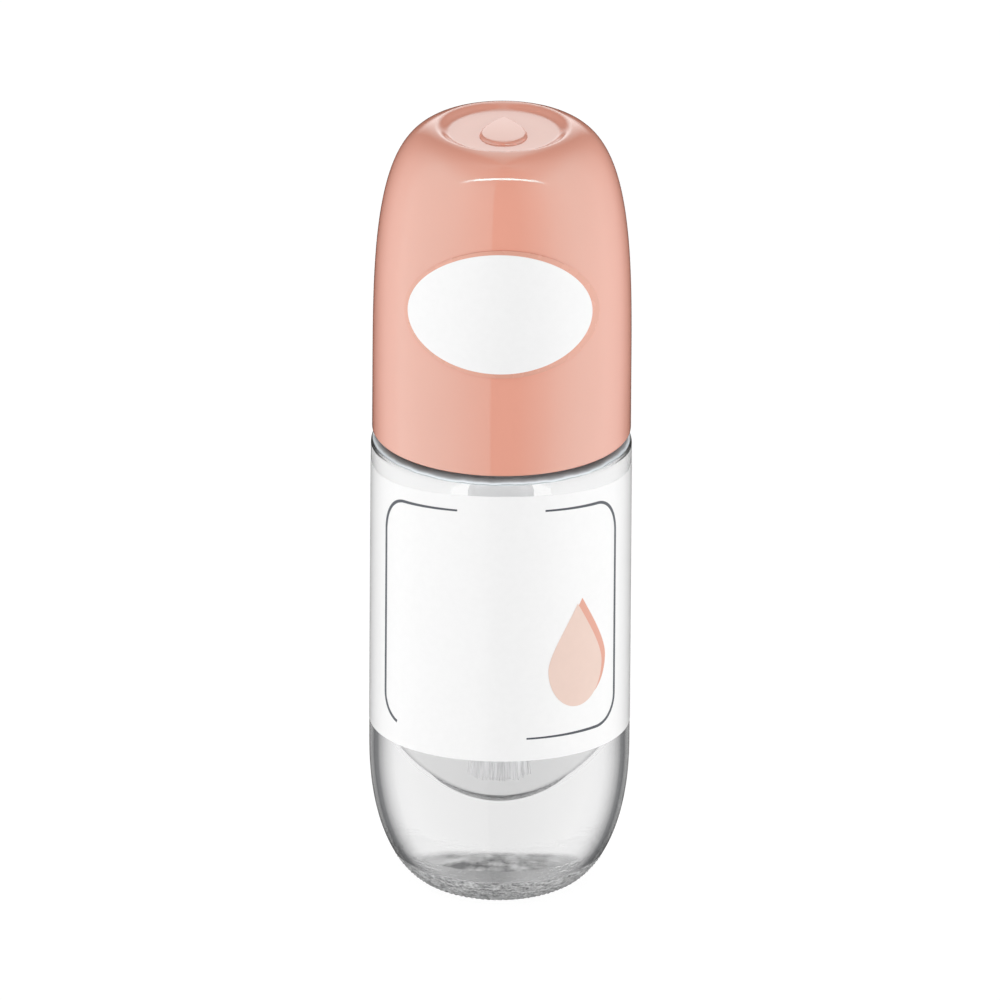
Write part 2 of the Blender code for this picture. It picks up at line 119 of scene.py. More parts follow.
def arc(centre: Point, reach: float, rise: float, start: float, end: float, steps: int = 8) -> list[Point]:
    """Points of an elliptic arc in an outline.

    Args:
        centre: radius and height of its centre.
        reach, rise: its half axes, outwards and up.
        start, end: its ends in quarter turns, where 0 points outwards and 1 up.
        steps: how many chords it has.

    Returns:
        Its points as (radius, height), ends included.
    """
    points = []
    for step in range(steps + 1):
        angle = math.pi / 2 * (start + (end - start) * step / steps)
        points.append((centre[0] + reach * math.cos(angle), centre[1] + rise * math.sin(angle)))
    return points


def swell(reach: float, rise: float, reach_power: float, rise_power: float, steps: int) -> list[Point]:
    """Offsets of a full, rounded quarter curve.

    Args:
        reach, rise: how far it reaches outwards and up.
        reach_power, rise_power: how square it is towards either end.
        steps: how many chords it has.

    Returns:
        Its points from (reach, 0) to (0, rise).
    """
    points = []
    for step in range(steps + 1):
        angle = math.pi / 2 * step / steps
        out = reach * max(math.cos(angle), 0) ** (2 / reach_power)
        up = rise * math.sin(angle) ** (2 / rise_power)
        points.append((out if step < steps else 0, up))
    return points


def linked(name: str, data: bpy.types.ID) -> bpy.types.Object:
    """Makes an object of its data and puts it in the scene."""
    thing = bpy.data.objects.new(name, data)
    bpy.context.scene.collection.objects.link(thing)
    return thing


def mesh_piece(name: str, places: Sequence[Place], faces: Sequence[Sequence[int]]) -> bpy.types.Object:
    """Makes a smooth object whose faces point outwards from a closed mesh.

    Args:
        name: the piece's name.
        places: its vertices.
        faces: its faces, all turning the same way.

    Returns:
        The object, at the origin.
    """
    spots = np.array(places, float)
    volume = 0.0
    for face in faces:
        for second, third in zip(face[1:], face[2:]):
            volume += np.dot(spots[face[0]], np.cross(spots[second], spots[third]))
    if volume < 0:
        faces = [tuple(reversed(face)) for face in faces]
    mesh = bpy.data.meshes.new(name)
    mesh.from_pydata([tuple(p) for p in spots], [], faces)
    mesh.update()
    mesh.shade_smooth()
    mesh.set_sharp_from_angle(angle=SHARP_ANGLE)
    return linked(name, mesh)


def turned(
    name: str,
    outline: Sequence[Point],
    sides: int,
    shape: Callable[[int, float, float, float], Point] | None = None,
) -> tuple[bpy.types.Object, list[int]]:
    """Turns an outline that closes on itself round Z.

    Args:
        name: the piece's name.
        outline: its points as (radius, height).
        sides: how many facets it has round the axis.
        shape: may move a point, given its place in the outline, its angle, radius and height.

    Returns:
        The object, and for each face the outline segment that it belongs to.
    """
    places: list[Place] = []
    rings: list[list[int]] = []
    for index, (radius, height) in enumerate(outline):
        if radius <= 0:
            rings.append([len(places)])
            places.append((0, 0, height))
            continue
        rings.append(list(range(len(places), len(places) + sides)))
        for side in range(sides):
            angle = math.tau * side / sides
            r, z = shape(index, angle, radius, height) if shape else (radius, height)
            places.append((r * math.cos(angle), r * math.sin(angle), z))
    faces: list[Sequence[int]] = []
    segments: list[int] = []
    for index, first in enumerate(rings):
        second = rings[(index + 1) % len(rings)]
        if len(first) == 1 and len(second) == 1:
            continue
        for side in range(sides):
            after = (side + 1) % sides
            if len(first) == 1:
                faces.append((first[0], second[after], second[side]))
            elif len(second) == 1:
                faces.append((first[side], first[after], second[0]))
            else:
                faces.append((first[side], first[after], second[after], second[side]))
            segments.append(index)
    return mesh_piece(name, places, faces), segments


def lofted(name: str, loops: Sequence[Sequence[Place]]) -> bpy.types.Object:
    """Joins closed loops into a tube with flat ends.

    Args:
        name: the piece's name.
        loops: its loops in order, all with as many points.

    Returns:
        The object. The faces between the loops come first, loop by loop.
    """
    count, last = len(loops[0]), len(loops) - 1
    faces: list[Sequence[int]] = []
    for step in range(last):
        first, second = step * count, (step + 1) * count
        for corner in range(count):
            after = (corner + 1) % count
            faces.append((first + corner, first + after, second + after, second + corner))
    faces.append(tuple(reversed(range(count))))
    faces.append(tuple(range(last * count, (last + 1) * count)))
    return mesh_piece(name, [place for loop in loops for place in loop], faces)


def film_patch(
    name: str, outline: Sequence[Point], centre: Point, rings: int, lay: Lay, lifts: Point
) -> bpy.types.Object:
    """A thin closed film that follows a surface.

    Args:
        name: the piece's name.
        outline: its edge in the surface's own two directions.
        centre: the point that its rings close in on.
        rings: how many rings it has from the centre to the edge.
        lay: puts a point of those two directions and a lift above the surface in its place.
        lifts: how far its lower and upper faces lie above the surface.

    Returns:
        The object.
    """
    places: list[Place] = []
    faces: list[Sequence[int]] = []
    count = len(outline)
    edges = []
    for side, lift in enumerate(lifts):
        base = len(places)
        places.append(lay(*centre, lift))
        for ring in range(1, rings + 1):
            share = ring / rings
            for point in outline:
                across, up = (middle + (far - middle) * share for middle, far in zip(centre, point))
                places.append(lay(across, up, lift))
        for spoke in range(count):
            after = (spoke + 1) % count
            sector = [(base, base + 1 + spoke, base + 1 + after)]
            for ring in range(rings - 1):
                inner, outer = base + 1 + ring * count, base + 1 + (ring + 1) * count
                sector.append((inner + spoke, outer + spoke, outer + after, inner + after))
            faces += sector if side else [tuple(reversed(face)) for face in sector]
        edges.append(base + 1 + (rings - 1) * count)
    for spoke in range(count):
        after = (spoke + 1) % count
        faces.append((edges[0] + spoke, edges[0] + after, edges[1] + after, edges[1] + spoke))
    return mesh_piece(name, places, faces)


def film_line(
    name: str, path: Sequence[Point], widths: Sequence[float], lay: Lay, lifts: Point
) -> bpy.types.Object:
    """A thin closed ribbon that follows a path on a surface.

    Args:
        name: the piece's name.
        path: the path in the surface's own two directions.
        widths: how wide it is at each of its points.
        lay: puts a point of those two directions and a lift above the surface in its place.
        lifts: how far its lower and upper faces lie above the surface.

    Returns:
        The object.
    """
    line = np.array(path, float)
    along = np.vstack([line[1:], line[-1:]]) - np.vstack([line[:1], line[:-1]])
    along /= np.linalg.norm(along, axis=1)[:, None]
    off = np.stack([-along[:, 1], along[:, 0]], axis=1) * np.array(widths)[:, None] / 2
    low, high = lifts
    loops = []
    for spot, aside in zip(line, off):
        left, right = spot + aside, spot - aside
        loops.append([lay(*left, low), lay(*right, low), lay(*right, high), lay(*left, high)])
    return lofted(name, loops)


def drop_outline(half_width: float, height: float, steps: int) -> list[Point]:
    """The outline of a plain drop with gently bulging flanks.

    Args:
        half_width: half its greatest width.
        height: its full height.
        steps: how many points it has.

    Returns:
        Its points as (across, up), measured from the middle of its widest level.
    """
    foot_share, neck_share, neck_up_share, flank_share = 0.38, 0.38, 0.8, 0.15
    foot = foot_share * height
    neck = (neck_share * half_width, neck_up_share * height - foot)
    flank = ((0, height - foot), neck, (half_width, flank_share * height), (half_width, 0))
    quarter = steps // 4
    right = []
    for step in range(quarter):
        t = step / quarter
        weights = ((1 - t) ** 3, 3 * t * (1 - t) ** 2, 3 * t**2 * (1 - t), t**3)
        right.append(tuple(sum(w * corner[axis] for w, corner in zip(weights, flank)) for axis in (0, 1)))
    right += arc((0, 0), half_width, foot, 0, -1, quarter)
    left = [(-across, up) for across, up in right[1:-1]]
    return right + left[::-1]


# Materials


class Graph:
    """A material's, a world's or a Geometry Nodes tree, with short calls to fill it."""

    def __init__(self, tree: bpy.types.NodeTree) -> None:
        """Takes a tree and empties it."""
        self.tree = tree
        tree.nodes.clear()

    def add(self, kind: str, inputs: dict | None = None, **settings: object) -> bpy.types.Node:
        """Adds a node.

        Args:
            kind: its type, as in ShaderNodeMath.
            inputs: values, or output sockets to link, by input name or number.
            settings: its own properties.

        Returns:
            The node.
        """
        node = self.tree.nodes.new(kind)
        for key, value in settings.items():
            setattr(node, key, value)
        for key, value in (inputs or {}).items():
            if isinstance(value, Socket):
                self.tree.links.new(value, node.inputs[key])
            else:
                node.inputs[key].default_value = value
        return node

    def math(self, operation: str, first: Value, second: Value = 0.0, third: Value = 0.0) -> Socket:
        """Adds a Math node and returns its result."""
        node = self.add("ShaderNodeMath", {0: first, 1: second, 2: third}, operation=operation)
        return node.outputs[0]

    def times(self, first: Value, *others: Value) -> Socket:
        """Multiplies numbers."""
        for other in others:
            first = self.math("MULTIPLY", first, other)
        return first

    def ramp(self, value: Socket, stops: Stops) -> Socket:
        """Adds a Color Ramp.

        Args:
            value: what it reads.
            stops: its stops as (place, linear colour).

        Returns:
            Its colour.
        """
        node = self.add("ShaderNodeValToRGB", {0: value})
        elements = node.color_ramp.elements
        while len(elements) > 1:
            elements.remove(elements[-1])
        elements[0].position, elements[0].color = stops[0][0], (*stops[0][1], 1)
        for place, colour in stops[1:]:
            elements.new(place).color = (*colour, 1)
        return node.outputs[0]

    def smooth(self, value: Value, low: float, high: float, start: float = 0.0, end: float = 1.0) -> Socket:
        """Adds a Map Range node with a smooth step from low to high."""
        levels = {0: value, 1: low, 2: high, 3: start, 4: end}
        return self.add("ShaderNodeMapRange", levels, interpolation_type="SMOOTHSTEP").outputs[0]

    def mixed(self, share: Value, first: object, second: object) -> Socket:
        """Mixes two colours."""
        return self.add("ShaderNodeMix", {0: share, 6: first, 7: second}, data_type="RGBA").outputs[2]

    def blended(self, share: Value, first: Socket, second: Socket) -> Socket:
        """Mixes two shaders."""
        return self.add("ShaderNodeMixShader", {0: share, 1: first, 2: second}).outputs[0]

    def place(self) -> Socket:
        """The shaded point in the piece's own coordinates."""
        return self.add("ShaderNodeTexCoord").outputs["Object"]

    def parts(self, vector: Socket) -> Sequence[Socket]:
        """Splits a vector into its three numbers."""
        return self.add("ShaderNodeSeparateXYZ", {0: vector}).outputs

    def joined(self, x: Value = 0.0, y: Value = 0.0, z: Value = 0.0) -> Socket:
        """Joins three numbers into a vector."""
        return self.add("ShaderNodeCombineXYZ", {0: x, 1: y, 2: z}).outputs[0]

    def around(self, reach: Value, turn: Socket, up: Value) -> Socket:
        """A place given by its distance from the axis, its turn round it and its height."""
        across = self.times(reach, self.math("COSINE", turn))
        deep = self.times(reach, self.math("SINE", turn))
        return self.joined(across, deep, up)

    def vectors(self, operation: str, first: object, second: object) -> Socket:
        """Adds a Vector Math node. SCALE takes a vector and a number."""
        inputs = {0: first, "Scale" if operation == "SCALE" else 1: second}
        return self.add("ShaderNodeVectorMath", inputs, operation=operation).outputs[0]

    def noise(self, scale: float, detail: float = 3.0) -> Socket:
        """Adds a Noise Texture in the piece's own coordinates and returns its value."""
        inputs = {"Vector": self.place(), "Scale": scale, "Detail": detail}
        return self.add("ShaderNodeTexNoise", inputs).outputs[0]

    def spun(self, vector: Socket, detail: float) -> Socket:
        """Adds a Noise Texture of scale one in given coordinates and returns its value."""
        return self.add("ShaderNodeTexNoise", {"Vector": vector, "Scale": 1.0, "Detail": detail}).outputs[0]

    def grain(self, scale: Place, detail: float) -> Socket:
        """Adds a Noise Texture whose scale differs along the piece's axes."""
        spread = self.add("ShaderNodeMapping", {"Vector": self.place(), "Scale": scale}).outputs[0]
        return self.spun(spread, detail)

    def swayed(self, scale: float, sway: float, detail: float) -> Socket:
        """A noise from half a sway below zero to half a sway above it."""
        return self.math("MULTIPLY_ADD", self.noise(scale, detail), sway, -sway / 2)

    def mottled(self, noise: Socket, colour: Colour, share: float, span: Point = NOISE_SPAN) -> Socket:
        """A colour that a noise darkens by up to a share."""
        deep = tuple(c * (1 - share) for c in colour)
        return self.ramp(noise, [(span[0], deep), (span[1], colour)])

    def hazed(self, scale: float, roughness: float, factor: float) -> Socket:
        """A roughness that a noise raises by up to a factor."""
        return self.smooth(self.noise(scale), *NOISE_SPAN, roughness, roughness * factor)

    def bump(self, height: Socket, distance: float) -> Socket:
        """Adds a Bump node and returns its normal."""
        return self.add("ShaderNodeBump", {"Height": height, "Distance": distance}).outputs["Normal"]

    def facing(self) -> Socket:
        """How far the surface turns away from the look, from 0 to 1."""
        return self.add("ShaderNodeLayerWeight", {"Blend": 0.5}).outputs["Facing"]

    def ray(self, kind: str) -> Socket:
        """Whether a ray is of a kind, such as Shadow."""
        return self.add("ShaderNodeLightPath").outputs[f"Is {kind} Ray"]

    def seen(self) -> Socket:
        """Whether the camera looks, straight or through glass."""
        return self.math("MAXIMUM", self.ray("Camera"), self.ray("Transmission"))

    def mirrored(self) -> Socket:
        """Whether a mirror looks, which is glossy and not through glass."""
        return self.math("GREATER_THAN", self.ray("Glossy"), self.ray("Transmission"))

    def principled(self, colour: Socket, roughness: Value, ior: float, more: dict) -> Socket:
        """Adds a Principled shader.

        Args:
            colour: its base colour.
            roughness: its roughness.
            ior: its index of refraction.
            more: its other inputs by name.

        Returns:
            The shader.
        """
        inputs = {"Base Color": colour, "Roughness": roughness, "IOR": ior, **more}
        return self.add("ShaderNodeBsdfPrincipled", inputs).outputs[0]

    def close(self, shader: Socket) -> None:
        """Ends a material with its surface."""
        self.add("ShaderNodeOutputMaterial", {0: shader})

    def close_clear(self, shader: Socket, passing: float, plain: bool = False) -> None:
        """Ends a material through which lamps shine.

        Args:
            shader: its surface.
            passing: how much of a lamp's light passes.
            plain: whether every look passes too, as in a bulk that shows nothing of its own.
        """
        through = self.add("ShaderNodeBsdfTransparent", {0: (passing, passing, passing, 1)}).outputs[0]
        self.close(self.blended(1.0 if plain else self.ray("Shadow"), shader, through))


def new_material(name: str) -> tuple[bpy.types.Material, Graph]:
    """Makes an empty material and its graph."""
    material = bpy.data.materials.new(name)
    material.use_nodes = True
    return material, Graph(material.node_tree)


@dataclass(frozen=True)
class Gloss:
    """A glossy moulded shell: even colour with a trace of flow, and a very slightly uneven skin."""

    name: str
    colour: Colour
    roughness: float = 0.045
    spec_tint: Colour = (0.35, 0.95, 1.0)
    flow: float = 0.025
    flow_scale: float = 90.0
    haze: float = 1.5
    haze_scale: float = 300.0
    skin: float = 0.000002
    skin_scale: float = 700.0
    ior: float = 1.5

    def make(self) -> bpy.types.Material:
        """Builds the material."""
        material, graph = new_material(self.name)
        base = graph.mottled(graph.noise(self.flow_scale, detail=4.0), self.colour, self.flow)
        rough = graph.hazed(self.haze_scale, self.roughness, self.haze)
        skin = graph.bump(graph.noise(self.skin_scale, detail=2.0), self.skin)
        more = {"Specular Tint": (*self.spec_tint, 1), "Normal": skin}
        graph.close(graph.principled(base, rough, self.ior, more))
        return material


@dataclass(frozen=True)
class Clear:
    """Clear glass or liquid. Its colour goes grey towards a grazing look, a painted shade for the dark edges
    of glass, and light from lamps passes.
    """

    name: str
    ior: float
    rim: Stops
    glint: float = 0.3
    calm: Point | None = None
    calm_level: float = 0.97
    passing: float = 0.99
    plain: bool = False

    def make(self) -> bpy.types.Material:
        """Builds the material. Between the two heights of calm, the rim's painted edge shade gives way to one
        pale level.
        """
        material, graph = new_material(self.name)
        # Painted shade: the colour darkens as the surface turns away from the look, standing in for the dark
        # surroundings that edges of glass show.
        colour = graph.ramp(graph.facing(), self.rim)
        if self.calm:
            share = graph.smooth(graph.parts(graph.place())[2], *self.calm)
            level = self.calm_level
            colour = graph.mixed(share, colour, (level, level, level, 1))
        more = {"Transmission Weight": 1.0, "Specular Tint": (self.glint, self.glint, self.glint, 1)}
        shader = graph.principled(colour, 0.0, self.ior, more)
        graph.close_clear(shader, self.passing, self.plain)
        return material


@dataclass(frozen=True)
class KnurledAndShaded:
    """The textured foot of the glass: greys that run in rings, with light flecks, fading into the clear wall.
    The greys are partly the stipple's own pattern and partly painted shade and painted sparkle for what its
    refraction shows.
    """

    name: str
    ior: float
    height: float
    rim: Stops
    # Painted shade and sparkle: the darkest and lightest greys of the foot.
    dark: Colour = (0.1, 0.101, 0.104)
    light: Colour = (0.75, 0.752, 0.756)
    middle_share: float = 0.6
    tone_places: Place = (0.38, 0.52, 0.64)
    fade: float = 0.0002
    sway: float = 0.0003
    sway_scale: float = 420.0
    clear_share: float = 0.3
    roughness: float = 0.3
    glint: float = 0.3
    ring_scale: float = 4200.0
    turn_scale: float = 9.0
    speck_scale: float = 3600.0
    speck_share: float = 0.45
    relief: float = 0.00004
    passing: float = 0.95

    def make(self) -> bpy.types.Material:
        """Builds the material."""
        material, graph = new_material(self.name)
        where = graph.place()
        x, y, z = graph.parts(where)
        reach = graph.add("ShaderNodeVectorMath", {0: where}, operation="LENGTH").outputs["Value"]
        turn = graph.math("ARCTAN2", y, x)
        polar = graph.joined(graph.times(reach, self.ring_scale), graph.times(turn, self.turn_scale))
        rings = graph.times(graph.spun(polar, detail=4.0), 1 - self.speck_share)
        flecks_and_sparkle = graph.noise(self.speck_scale, detail=2.0)
        both = graph.math("MULTIPLY_ADD", flecks_and_sparkle, self.speck_share, rings)
        middle = tuple(c * self.middle_share for c in self.light)
        # Painted shade and sparkle: the pattern picks dark, middle and light greys that stand in for the
        # stipple's refraction.
        stipple_painted_shade = graph.ramp(both, list(zip(self.tone_places, (self.dark, middle, self.light))))
        level = graph.math("ADD", z, graph.swayed(self.sway_scale, self.sway, detail=2.0))
        span = (self.height - self.fade, self.height + self.fade)
        colour = graph.mixed(graph.smooth(level, *span), stipple_painted_shade, graph.ramp(graph.facing(), self.rim))
        more = {
            "Transmission Weight": graph.smooth(level, *span, self.clear_share, 1.0),
            "Specular Tint": (self.glint, self.glint, self.glint, 1),
            "Normal": graph.bump(both, self.relief),
        }
        rough = graph.smooth(level, *span, self.roughness, 0.0)
        graph.close_clear(graph.principled(colour, rough, self.ior, more), self.passing)
        return material


@dataclass(frozen=True)
class GroundAndShade:
    """The shoulder's corner: a satin ring with painted shade, dark at its top as a painted shadow under the
    cap's rim, with a painted light line and a fine grey line below, and clear further in.
    """

    name: str
    ior: float
    low: float
    high: float
    inner: Point
    # Painted shade and light by height: a dark band under the cap's rim, a light line and a fine grey line.
    painted_tones: Sequence[Point] = (
        (0.5, 0.8), (0.56, 0.42), (0.61, 0.46), (0.67, 0.92), (0.78, 0.8), (0.88, 0.42), (1.0, 0.22)
    )
    # Cools the painted greys against the warm light that the cap casts.
    tint: Colour = (0.93, 1.02, 1.07)
    clear: Colour = (0.93, 0.93, 0.935)
    sway: float = 0.0004
    sway_scale: float = 340.0
    roughness: float = 0.32
    haze: float = 1.3
    haze_scale: float = 900.0
    satin_share: float = 0.7
    relief: float = 0.00001
    relief_scale: float = 1500.0
    passing: float = 0.97

    def make(self) -> bpy.types.Material:
        """Builds the material."""
        material, graph = new_material(self.name)
        x, y, z = graph.parts(graph.place())
        reach = graph.math("SQRT", graph.math("MULTIPLY_ADD", x, x, graph.times(y, y)))
        outer = graph.smooth(reach, *self.inner)
        height = graph.math("ADD", z, graph.swayed(self.sway_scale, self.sway, detail=5.0))
        # Painted shadow and light: the ring's colour by height, cooled by the tint.
        stops = [(at, tuple(tone * c for c in self.tint)) for at, tone in self.painted_tones]
        satin = graph.ramp(graph.smooth(height, self.low, self.high), stops)
        colour = graph.mixed(outer, (*self.clear, 1), satin)
        rough = graph.times(graph.hazed(self.haze_scale, self.roughness, self.haze), outer)
        more = {
            "Transmission Weight": graph.math("MULTIPLY_ADD", outer, -self.satin_share, 1.0),
            "Normal": graph.bump(graph.noise(self.relief_scale), self.relief),
        }
        graph.close_clear(graph.principled(colour, rough, self.ior, more), self.passing)
        return material


@dataclass(frozen=True)
class Film:
    """A satin film, an ink, the frosted stem or bristles: fine fibres, and some light may pass."""

    name: str
    colour: Colour
    roughness: float = 0.4
    passes: float = 0.0
    glows: float = 0.0
    fibre: float = 0.012
    fibre_span: Point = (0.35, 0.65)
    gloss: float = 0.5
    grain: Place = (1500.0, 1500.0, 1500.0)
    haze: float = 1.2
    haze_scale: float = 500.0
    skin: float = 0.000001
    skin_scale: float = 2500.0
    wet_below: float | None = None
    wet_fade: float = 0.0015
    wet_share: float = 0.8
    ior: float = 1.45

    def make(self) -> bpy.types.Material:
        """Builds the material. Below a height it may be wet, and so a little darker; above it the colour is
        kept lighter as painted light against the shade under the cap.
        """
        material, graph = new_material(self.name)
        fibres = graph.grain(self.grain, detail=5.0)
        base = graph.mottled(fibres, self.colour, self.fibre, self.fibre_span)
        # Darker below a height, where wet; lighter above it as painted light for the shade under the cap.
        if self.wet_below is not None:
            span = (self.wet_below - self.wet_fade, self.wet_below + self.wet_fade)
            wet_dark_painted_light_above = graph.smooth(graph.parts(graph.place())[2], *span, self.wet_share, 1.0)
            base = graph.vectors("SCALE", base, wet_dark_painted_light_above)
        rough = graph.hazed(self.haze_scale, self.roughness, self.haze)
        skin = graph.bump(graph.noise(self.skin_scale, detail=2.0), self.skin)
        more = {"Specular IOR Level": self.gloss, "Normal": skin}
        surface = graph.principled(base, rough, self.ior, more)
        if self.glows:
            back_lit = graph.add("ShaderNodeBsdfTranslucent", {"Color": base}).outputs[0]
            surface = graph.blended(self.glows, surface, back_lit)
        if self.passes:
            through = graph.add("ShaderNodeBsdfTransparent").outputs[0]
            surface = graph.blended(graph.times(graph.ray("Shadow"), self.passes), surface, through)
        graph.close(surface)
        return material


@dataclass(frozen=True)
class Moulded:
    """Matt moulded plastic, foam or rolled metal, with a fine grain."""

    name: str
    colour: Colour
    roughness: float
    grain: Place = (1800.0, 1800.0, 1800.0)
    relief: float = 0.000004
    metallic: float = 0.0
    shade: float = 0.07
    haze: float = 0.15
    ior: float = 1.49

    def make(self) -> bpy.types.Material:
        """Builds the material."""
        material, graph = new_material(self.name)
        grain = graph.grain(self.grain, detail=4.0)
        base = graph.mottled(grain, self.colour, self.shade)
        ends = (self.roughness * (1 - self.haze), self.roughness * (1 + self.haze))
        rough = graph.smooth(grain, *NOISE_SPAN, *ends)
        more = {"Metallic": self.metallic, "Normal": graph.bump(grain, self.relief)}
        graph.close(graph.principled(base, rough, self.ior, more))
        return material


Finish = Gloss | Clear | KnurledAndShaded | GroundAndShade | Film | Moulded


def made(finish: Finish) -> bpy.types.Material:
    """The material of a finish, made once."""
    return bpy.data.materials.get(finish.name) or finish.make()


def dress(piece: bpy.types.Object, *finishes: Finish) -> None:
    """Gives a piece its finishes, first slot first."""
    piece.data.materials.clear()
    for finish in finishes:
        piece.data.materials.append(made(finish))


def seat(piece: bpy.types.Object, body: Body, slot: Slot, *nodes: str) -> None:
    """Declares a piece to the frame.

    Args:
        piece: the finished piece.
        body: the body it moves with.
        slot: not used.
        nodes: the solids it stands for.
    """
    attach(piece, body.value)
    if nodes:
        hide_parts(*nodes)
    LOG.info("%s rides on %s, %d faces", piece.name, body.value, len(piece.data.polygons))


# Geometry Nodes


class Grower:
    """A Geometry Nodes tree that makes what repeats, with named inputs."""

    def __init__(self, name: str, sizes: dict[str, float]) -> None:
        """Starts a tree.

        Args:
            name: the name of the tree and of its piece.
            sizes: the value of each named input, a whole one for a count.
        """
        self.name = name
        self.group = bpy.data.node_groups.new(name, "GeometryNodeTree")
        self.graph = Graph(self.group)
        self.values: dict[str, float] = {}
        self.group.interface.new_socket(name="Geometry", in_out="OUTPUT", socket_type="NodeSocketGeometry")
        for label, value in sizes.items():
            kind = "NodeSocketInt" if isinstance(value, int) else "NodeSocketFloat"
            socket = self.group.interface.new_socket(name=label, in_out="INPUT", socket_type=kind)
            self.values[socket.identifier] = value
        self.entry = self.graph.add("NodeGroupInput")
        self.index = self.graph.add("GeometryNodeInputIndex").outputs[0]

    def given(self, label: str) -> Socket:
        """The output socket of a named input."""
        return self.entry.outputs[label]

    def copies(self, count: Socket, place: Socket, thing: Socket, turn: Value = 0.0) -> Socket:
        """Puts copies of a thing in their places.

        Args:
            count: how many there are.
            place: their places, worked out from the index.
            thing: what is copied.
            turn: how far each is turned about Z.

        Returns:
            The instances.
        """
        points = self.graph.add("GeometryNodePoints", {"Count": count, "Position": place}).outputs[0]
        inputs = {"Points": points, "Instance": thing, "Rotation": self.graph.joined(z=turn)}
        return self.graph.add("GeometryNodeInstanceOnPoints", inputs).outputs[0]

    def grow(self, geometry: Socket, finish: Finish) -> bpy.types.Object:
        """Ends the tree in Realize Instances and Set Material, and runs it.

        Args:
            geometry: what the tree has made.
            finish: the piece's finish.

        Returns:
            A plain mesh object at the origin, with no modifier.
        """
        real = self.graph.add("GeometryNodeRealizeInstances", {0: geometry}).outputs[0]
        smooth = self.graph.add("GeometryNodeSetShadeSmooth", {0: real}).outputs[0]
        dressed = self.graph.add("GeometryNodeSetMaterial", {"Geometry": smooth, "Material": made(finish)})
        self.graph.add("NodeGroupOutput", {0: dressed.outputs[0]})
        seed = linked(self.name + "_seed", bpy.data.meshes.new(self.name + "_seed"))
        change = seed.modifiers.new("grow", "NODES")
        change.node_group = self.group
        for identifier, value in self.values.items():
            change[identifier] = value
        bpy.context.view_layer.update()
        ready = seed.evaluated_get(bpy.context.evaluated_depsgraph_get())
        mesh = bpy.data.meshes.new_from_object(ready)
        mesh.name = self.name
        seed.modifiers.remove(change)
        bpy.data.objects.remove(seed, do_unlink=True)
        return linked(self.name, mesh)


# The bottle


